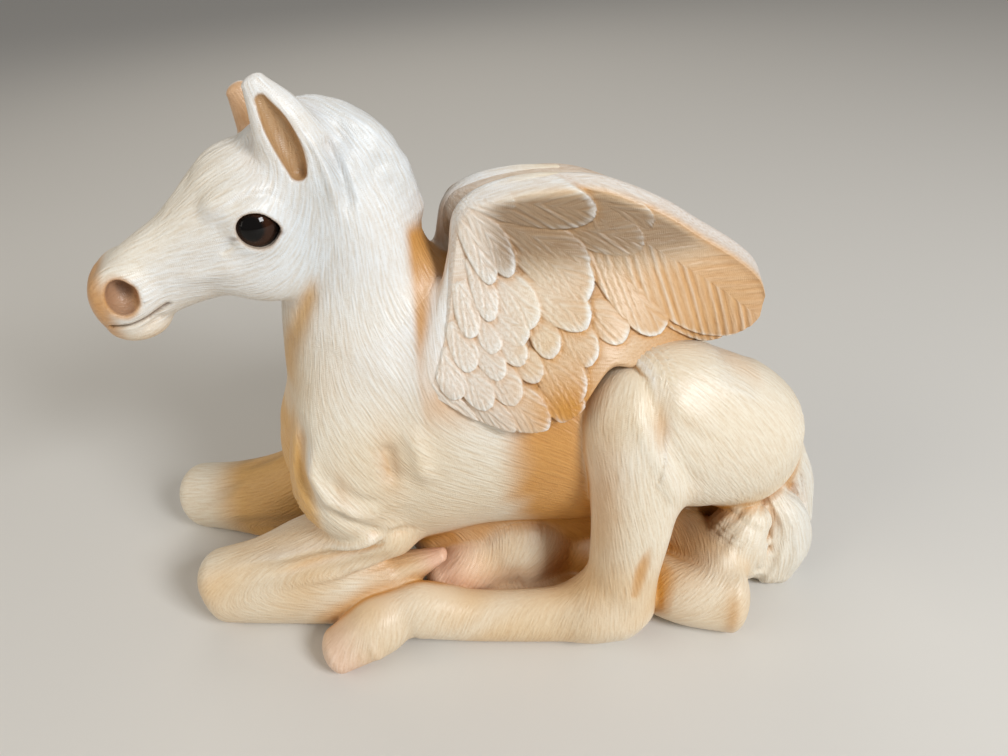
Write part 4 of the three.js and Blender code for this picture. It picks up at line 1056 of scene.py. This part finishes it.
def feather_relief(x, z):
    """Height of the feathers over the plate: at each place the highest leaf wins. A leaf rises from its root
    to its tip and drops at its edge. Its barbs are waves that run out from the shaft, steeper on a large
    leaf. Also gives the direction of the winner's barbs in x and z."""
    top = np.zeros_like(x)
    barb_x, barb_z = np.ones_like(x), np.zeros_like(x)
    for number, (root_x, root_z, tip_x, tip_z, half, lift) in enumerate(FEATHERS):
        run_x, run_z = tip_x - root_x, tip_z - root_z
        start_x, start_z = root_x - LEAF_ROOTED * run_x, root_z - LEAF_ROOTED * run_z
        span = math.hypot(run_x, run_z) * (1 + LEAF_ROOTED)
        ax, az = run_x / span * (1 + LEAF_ROOTED), run_z / span * (1 + LEAF_ROOTED)
        along = ((x - start_x) * ax + (z - start_z) * az) / span
        across = (z - start_z) * ax - (x - start_x) * az - LEAF_BOW * span * along * (1 - along)
        large = ease(span, 20, 42)
        width = np.maximum(LEAF_WIDER * half * leaf(along, 0.55 + 0.15 * large), 1e-3)
        side = np.abs(across)
        inside = (along > 0) & (along < 1) & (side < width)
        edge = np.clip(np.minimum(width - side, (1 - along) * span) / LEAF_EDGE, 0, 1)
        slant = math.radians(16 + 22 * large)
        phase = (side * math.cos(slant) - along * span * math.sin(slant)) / (BARB_PITCH * (1 + 0.5 * large))
        phase = phase + 0.3 * np.sin(5 * along + number)
        lower = np.where(across < 0, 1, 1 - 0.7 * large)
        uneven = 0.65 + 0.35 * np.sin(0.37 * 2 * np.pi * phase + number)
        barbs = BARB_DEPTH * (1 + 0.8 * large) * lower * uneven * np.sin(2 * np.pi * phase)
        puff = (0.3 + 0.6 * large) * (1 - (across / width) ** 2)
        body = lift * np.clip(along, 0, 1) ** 0.8 + puff + barbs
        height = np.where(inside, body * np.sqrt(edge), 0)
        wins = height > top
        top = np.where(wins, height, top)
        turn = np.sign(across) * math.sin(slant)
        barb_x = np.where(wins, ax * math.cos(slant) - az * turn, barb_x)
        barb_z = np.where(wins, az * math.cos(slant) + ax * turn, barb_z)
    return top, barb_x, barb_z


def smoothed(values, reach):
    """Mean over a square of cells round each cell of a grid, from running sums along both axes."""
    for axis in (0, 1):
        margin = [(reach + 1, reach) if k == axis else (0, 0) for k in (0, 1)]
        total = np.cumsum(np.pad(values, margin, mode="edge"), axis)
        count = total.shape[axis] - 2 * reach - 1
        last = np.take(total, np.arange(count) + 2 * reach + 1, axis)
        values = (last - np.take(total, np.arange(count), axis)) / (2 * reach + 1)
    return values


def flank_out(x, z, side):
    """Distance of the trunk's side from the body's middle plane: the last place inside the trunk on each line
    across it, on a coarse grid, and in between a mean of the four places round a point. 0 off the trunk."""
    xs, zs = np.arange(-24, 60, FLANK_STEP), np.arange(50, 90, FLANK_STEP)
    outs = np.arange(8, 34, 0.5)
    gx, gz, go = np.meshgrid(xs, zs, outs, indexing="ij")
    shift = WING_SHIFT[side]
    p = np.stack([gx + shift[0], BODY_MIDDLE - side * go, gz + shift[1]], -1).astype(np.float32)
    field = group_field("trunk", p.reshape(-1, 3)).reshape(gx.shape)
    inside = field < 0
    last = np.where(inside.any(-1), inside.shape[-1] - 1 - inside[..., ::-1].argmax(-1), 0)
    level = np.take_along_axis(field, last[..., None], -1)[..., 0]
    reach = np.where(inside.any(-1), outs[last] - level, 0)
    u = np.clip((x - xs[0]) / FLANK_STEP, 0, len(xs) - 1.001)
    v = np.clip((z - zs[0]) / FLANK_STEP, 0, len(zs) - 1.001)
    i, j = u.astype(int), v.astype(int)
    u, v = u - i, v - j
    low = reach[i, j] * (1 - u) + reach[i + 1, j] * u
    high = reach[i, j + 1] * (1 - u) + reach[i + 1, j + 1] * u
    return low * (1 - v) + high * v


def wing_surface(side, along_count, outer_count, inner_count):
    """A closed section carried from the wing's root to its tip: u runs along the leading and trailing edges,
    v round the section, out over the feathered face and back along the inner face. Each point is the place
    between the edges, pushed off the plate's middle by half its thickness, the rim and the feathers, and low
    down off the trunk's side."""
    spans = len(WING_LEADING) - 1
    index = np.linspace(0, spans, along_count)
    fine = np.linspace(0, spans, spans * 32 + 1)
    lead = np.stack([np.interp(index, fine, column) for column in curve(WING_LEADING, 32).T], 1)
    trail = np.stack([np.interp(index, fine, column) for column in curve(WING_TRAILING, 32).T], 1)
    out_v = 0.5 - 0.5 * np.cos(np.linspace(0, 1, outer_count + 1) * np.pi)
    out_v = 0.25 * out_v + 0.75 * np.linspace(0, 1, outer_count + 1)
    back_v = np.linspace(1, 0, inner_count + 1)[1:-1]
    v = np.concatenate([out_v, back_v])[None, :]
    face = np.concatenate([np.ones(outer_count + 1), -np.ones(inner_count - 1)])[None, :]
    x = lead[:, :1] * (1 - v) + trail[:, :1] * v
    z = lead[:, 1:] * (1 - v) + trail[:, 1:] * v
    chord = np.linalg.norm(trail - lead, axis=1)[:, None]
    from_lead, from_trail = v * chord, (1 - v) * chord
    ends = np.minimum(index, spans - index)[:, None]
    close = np.sqrt(np.clip(np.minimum(from_lead / 2.2, from_trail / 1.6), 0, 1))
    close = close * np.sqrt(np.clip(ends / 0.35, 0, 1))
    relief, barb_x, barb_z = feather_relief(x, z)
    rim = RIM_HIGH * np.exp(-(((from_lead - 1.2) / RIM_WIDE) ** 2)) * ease(x, 0, 12)
    raised = (relief + rim) * np.clip(np.minimum(from_lead / 1.5, from_trail / 0.8), 0, 1) * close
    flank = flank_out(x, z, side)
    plate = wing_out(x, z)
    hug = (1 - ease(z, 62, 82)) * (1 - ease(x, -10, 2)) * (flank > 0)
    plate = plate + 0.85 * hug * (flank - 1.2 - plate)
    sink = 1.6 * (1 - ease(from_trail, 0, 2)) * (1 - ease(x, 17, 24))
    sink = sink + 1.6 * (1 - ease(from_trail, 0, 7)) * (1 - ease(x, -4, 6))
    outer = -melt(-(plate + WING_THICK / 2 * close), -(flank + 0.4), HUG_ROUND) + raised - sink
    inner = plate - (WING_THICK / 2 + 0.5 * relief) * close - sink
    shift = WING_SHIFT[side]
    y = BODY_MIDDLE - side * np.where(face > 0, outer, inner)
    points = np.stack([x + shift[0], y, z + shift[1]], -1)
    flow = np.stack([barb_x, 0 * x, barb_z], -1).reshape(-1, 3)
    return points, x, z, smoothed(relief, outer_count // 30) - relief, from_lead, face, flow


def closed_faces(rows, columns, flip):
    """Triangles of a grid of rings that closes round its columns. Each quad is cut in two, and a fan joins
    the first and the last ring to the two end points that follow the grid."""
    this = np.arange(columns)
    after = (this + 1) % columns
    ring = np.arange(rows - 1)[:, None] * columns
    a, b = ring + this, ring + after
    quads = np.stack([a, b, b + columns, a + columns], -1).reshape(-1, 4)
    end = 0 * this + rows * columns
    last = (rows - 1) * columns
    fans = np.vstack([np.stack([end, after, this], 1), np.stack([end + 1, last + this, last + after], 1)])
    if flip:
        quads, fans = quads[:, ::-1], fans[:, ::-1]
    return np.vstack([quads[:, [0, 1, 2]], quads[:, [0, 2, 3]], fans]).astype(np.int32)


def paint_wing(side, points, x, z, hollow, from_lead, outer):
    """Colour of a wing: cream with an ochre tint, painted shade in ochre and umber under the leaves and low
    down, a taupe palm as painted shade, painted highlight in white on the edges, and a white leading edge. The
    far wing is tan where it faces the near one, as painted shade."""
    # The palm's taupe and the ochre low down are painted shade
    palm = ease(z, 83, 91) * ease(x, -4, 3) * (1 - ease(x, 34, 50)) * ease(from_lead, 2, 4)
    low = np.exp(-(((x - 12) / 9) ** 2) - ((z - 64) / 7) ** 2)
    # Ochre tint, more towards the tip, with painted shade where the face is hollow
    warm = (ease(x, 4, 20) + 0.7 * ease(x, 22, 36)) * (1 - palm)
    tint_and_shade = np.clip(1.3 * hollow + 0.18 + 0.3 * warm, 0, 0.8) * (1 - 0.5 * palm)
    layers = [
        ("ivory", 0.5 + 0.5 * mottle(points, 7)),
        ("white", 0.6 * (1 - ease(x, -2, 9))),
        ("taupe", 0.9 * palm * outer),
        ("ochre", low * outer),
        ("ochre", tint_and_shade * outer),
        ("umber", np.clip(1.5 * hollow - 0.5, 0, 0.6) * outer),
        # Painted highlight in white on the raised edges
        ("white", np.clip(-1.6 * hollow - 0.1, 0, 0.8) * outer),
        ("white", 0.7 * (1 - ease(from_lead, 0.8, 2.4))),
    ]
    # Tan painted shade on the far wing
    if side == RIGHT:
        layers.append(("tan", 0.5 * np.maximum(~outer, 1 - ease(from_lead, 1.5, 4))))
    return lay(np.tile(PAINT["cream"], (len(points), 1)), layers)


def add_wing(name, side, material):
    """A wing: the closed section as a grid, with the mean of its first and last ring as end points."""
    points, x, z, hollow, from_lead, face, flow = wing_surface(side, *WING_COUNTS)
    rows, columns = points.shape[:2]
    outer = np.broadcast_to(face > 0, (rows, columns)).ravel()
    flat = points.reshape(-1, 3)
    colour = paint_wing(side, flat, x.ravel(), z.ravel(), hollow.ravel(), from_lead.ravel(), outer)
    flat = np.vstack([flat, points[0].mean(0), points[-1].mean(0)])
    colour = np.vstack([colour, colour[[0, -1]]])
    flow = np.vstack([flow, flow[[0, -1]]])
    triangles = closed_faces(rows, columns, side == RIGHT)
    stand_for(add_mesh(name + "_feathers", flat, triangles, material, colour, flow), name)


def add_eye(name, side, material):
    """A ball as a surface of two angles, with a dark pupil and a brown ring round it."""
    turns, rings = EYE_COUNTS
    polar = np.linspace(0, np.pi, rings + 1)[1:-1, None]
    turn = np.arange(turns)[None, :] * 2 * np.pi / turns
    ring = np.sin(polar)
    ball = np.stack([ring * np.cos(turn), ring * np.sin(turn), np.cos(polar) + 0 * turn], -1)
    ball = np.vstack([ball.reshape(-1, 3), UP, -UP])
    points = head_point(EYE_PLACE[0], EYE_PLACE[1] * side, EYE_PLACE[2]) + ball * EYE_RADIUS
    facing = ball @ unit(HEAD_OUT * side + 0.25 * HEAD_ALONG + 0.15 * UP)
    iris = ease(facing, 0.45, 0.75) * (1 - ease(facing, 0.82, 0.9))
    colour = lay(np.tile(PAINT["pupil"], (len(ball), 1)), [("iris", iris)])
    faces = closed_faces(rings - 1, turns, True)
    stand_for(add_mesh(name + "_ball", points, faces, material, colour), name)


def add_area(name, place, size, power, colour):
    """A soft square lamp that faces the figure."""
    light = bpy.data.lights.new(name, "AREA")
    light.size = size
    light.energy = power
    light.color = colour
    lamp = bpy.data.objects.new(name, light)
    lamp.location = place
    aim = np.asarray(AIM) - np.asarray(place)
    lamp.rotation_euler = (math.atan2(math.hypot(aim[0], aim[1]), -aim[2]), 0, math.atan2(-aim[0], aim[1]))
    bpy.context.scene.collection.objects.link(lamp)


def build_stage():
    """A pale floor, a plain world, three soft lights and the camera where the picture was taken."""
    floor_mesh = bpy.data.meshes.new("floor")
    edge = FLOOR_REACH
    corners = [(-edge, -edge, 0), (edge, -edge, 0), (edge, edge, 0), (-edge, edge, 0)]
    floor_mesh.from_pydata(corners, [], [(0, 1, 2, 3)])
    floor_mesh.materials.append(plain("floor", FLOOR_COLOUR, 0.7))
    floor = bpy.data.objects.new("floor", floor_mesh)
    bpy.context.scene.collection.objects.link(floor)
    world = bpy.data.worlds.new("studio")
    world.use_nodes = True
    background = world.node_tree.nodes["Background"]
    background.inputs["Color"].default_value = WORLD_COLOUR
    background.inputs["Strength"].default_value = WORLD_STRENGTH
    bpy.context.scene.world = world
    for lamp in LAMPS:
        add_area(*lamp)
    lens = bpy.data.cameras.new("camera")
    lens.sensor_width = 36.0
    lens.lens = CAMERA_LENS
    lens.clip_start = 0.01
    camera = bpy.data.objects.new("camera", lens)
    camera.location = CAMERA_PLACE
    pitch, roll = math.radians(90 - CAMERA_DOWN), math.radians(CAMERA_ROLL)
    camera.rotation_mode = "QUATERNION"
    camera.rotation_quaternion = (
        math.cos(pitch / 2) * math.cos(roll / 2), math.sin(pitch / 2) * math.cos(roll / 2),
        -math.sin(pitch / 2) * math.sin(roll / 2), math.cos(pitch / 2) * math.sin(roll / 2),
    )
    bpy.context.scene.collection.objects.link(camera)
    bpy.context.scene.camera = camera
    bpy.context.scene.view_settings.view_transform = "Standard"


ivory = painted_casting("ivory_casting", 0.42, 0.18)
white = painted_casting("white_casting", 0.40, 0.18)
plumage = painted_casting("plumage", 0.42, 0.16)
for casting in MEMBERS:
    if casting == "head_and_neck":
        add_casting(casting, white, HEAD_CELL)
    else:
        add_casting(casting, ivory, TRUNK_CELL if casting == "trunk" else CELL)
add_wing("left_wing", LEFT, plumage)
add_wing("right_wing", RIGHT, plumage)
glass = eye_material()
add_eye("left_eye", LEFT, glass)
add_eye("right_eye", RIGHT, glass)
steel = plain("pin_steel", (0.70, 0.71, 0.72), 0.35, metallic=1.0)
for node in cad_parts.values():
    if node.name.endswith("_pin"):
        node.data.materials.clear()
        node.data.materials.append(steel)
build_stage()
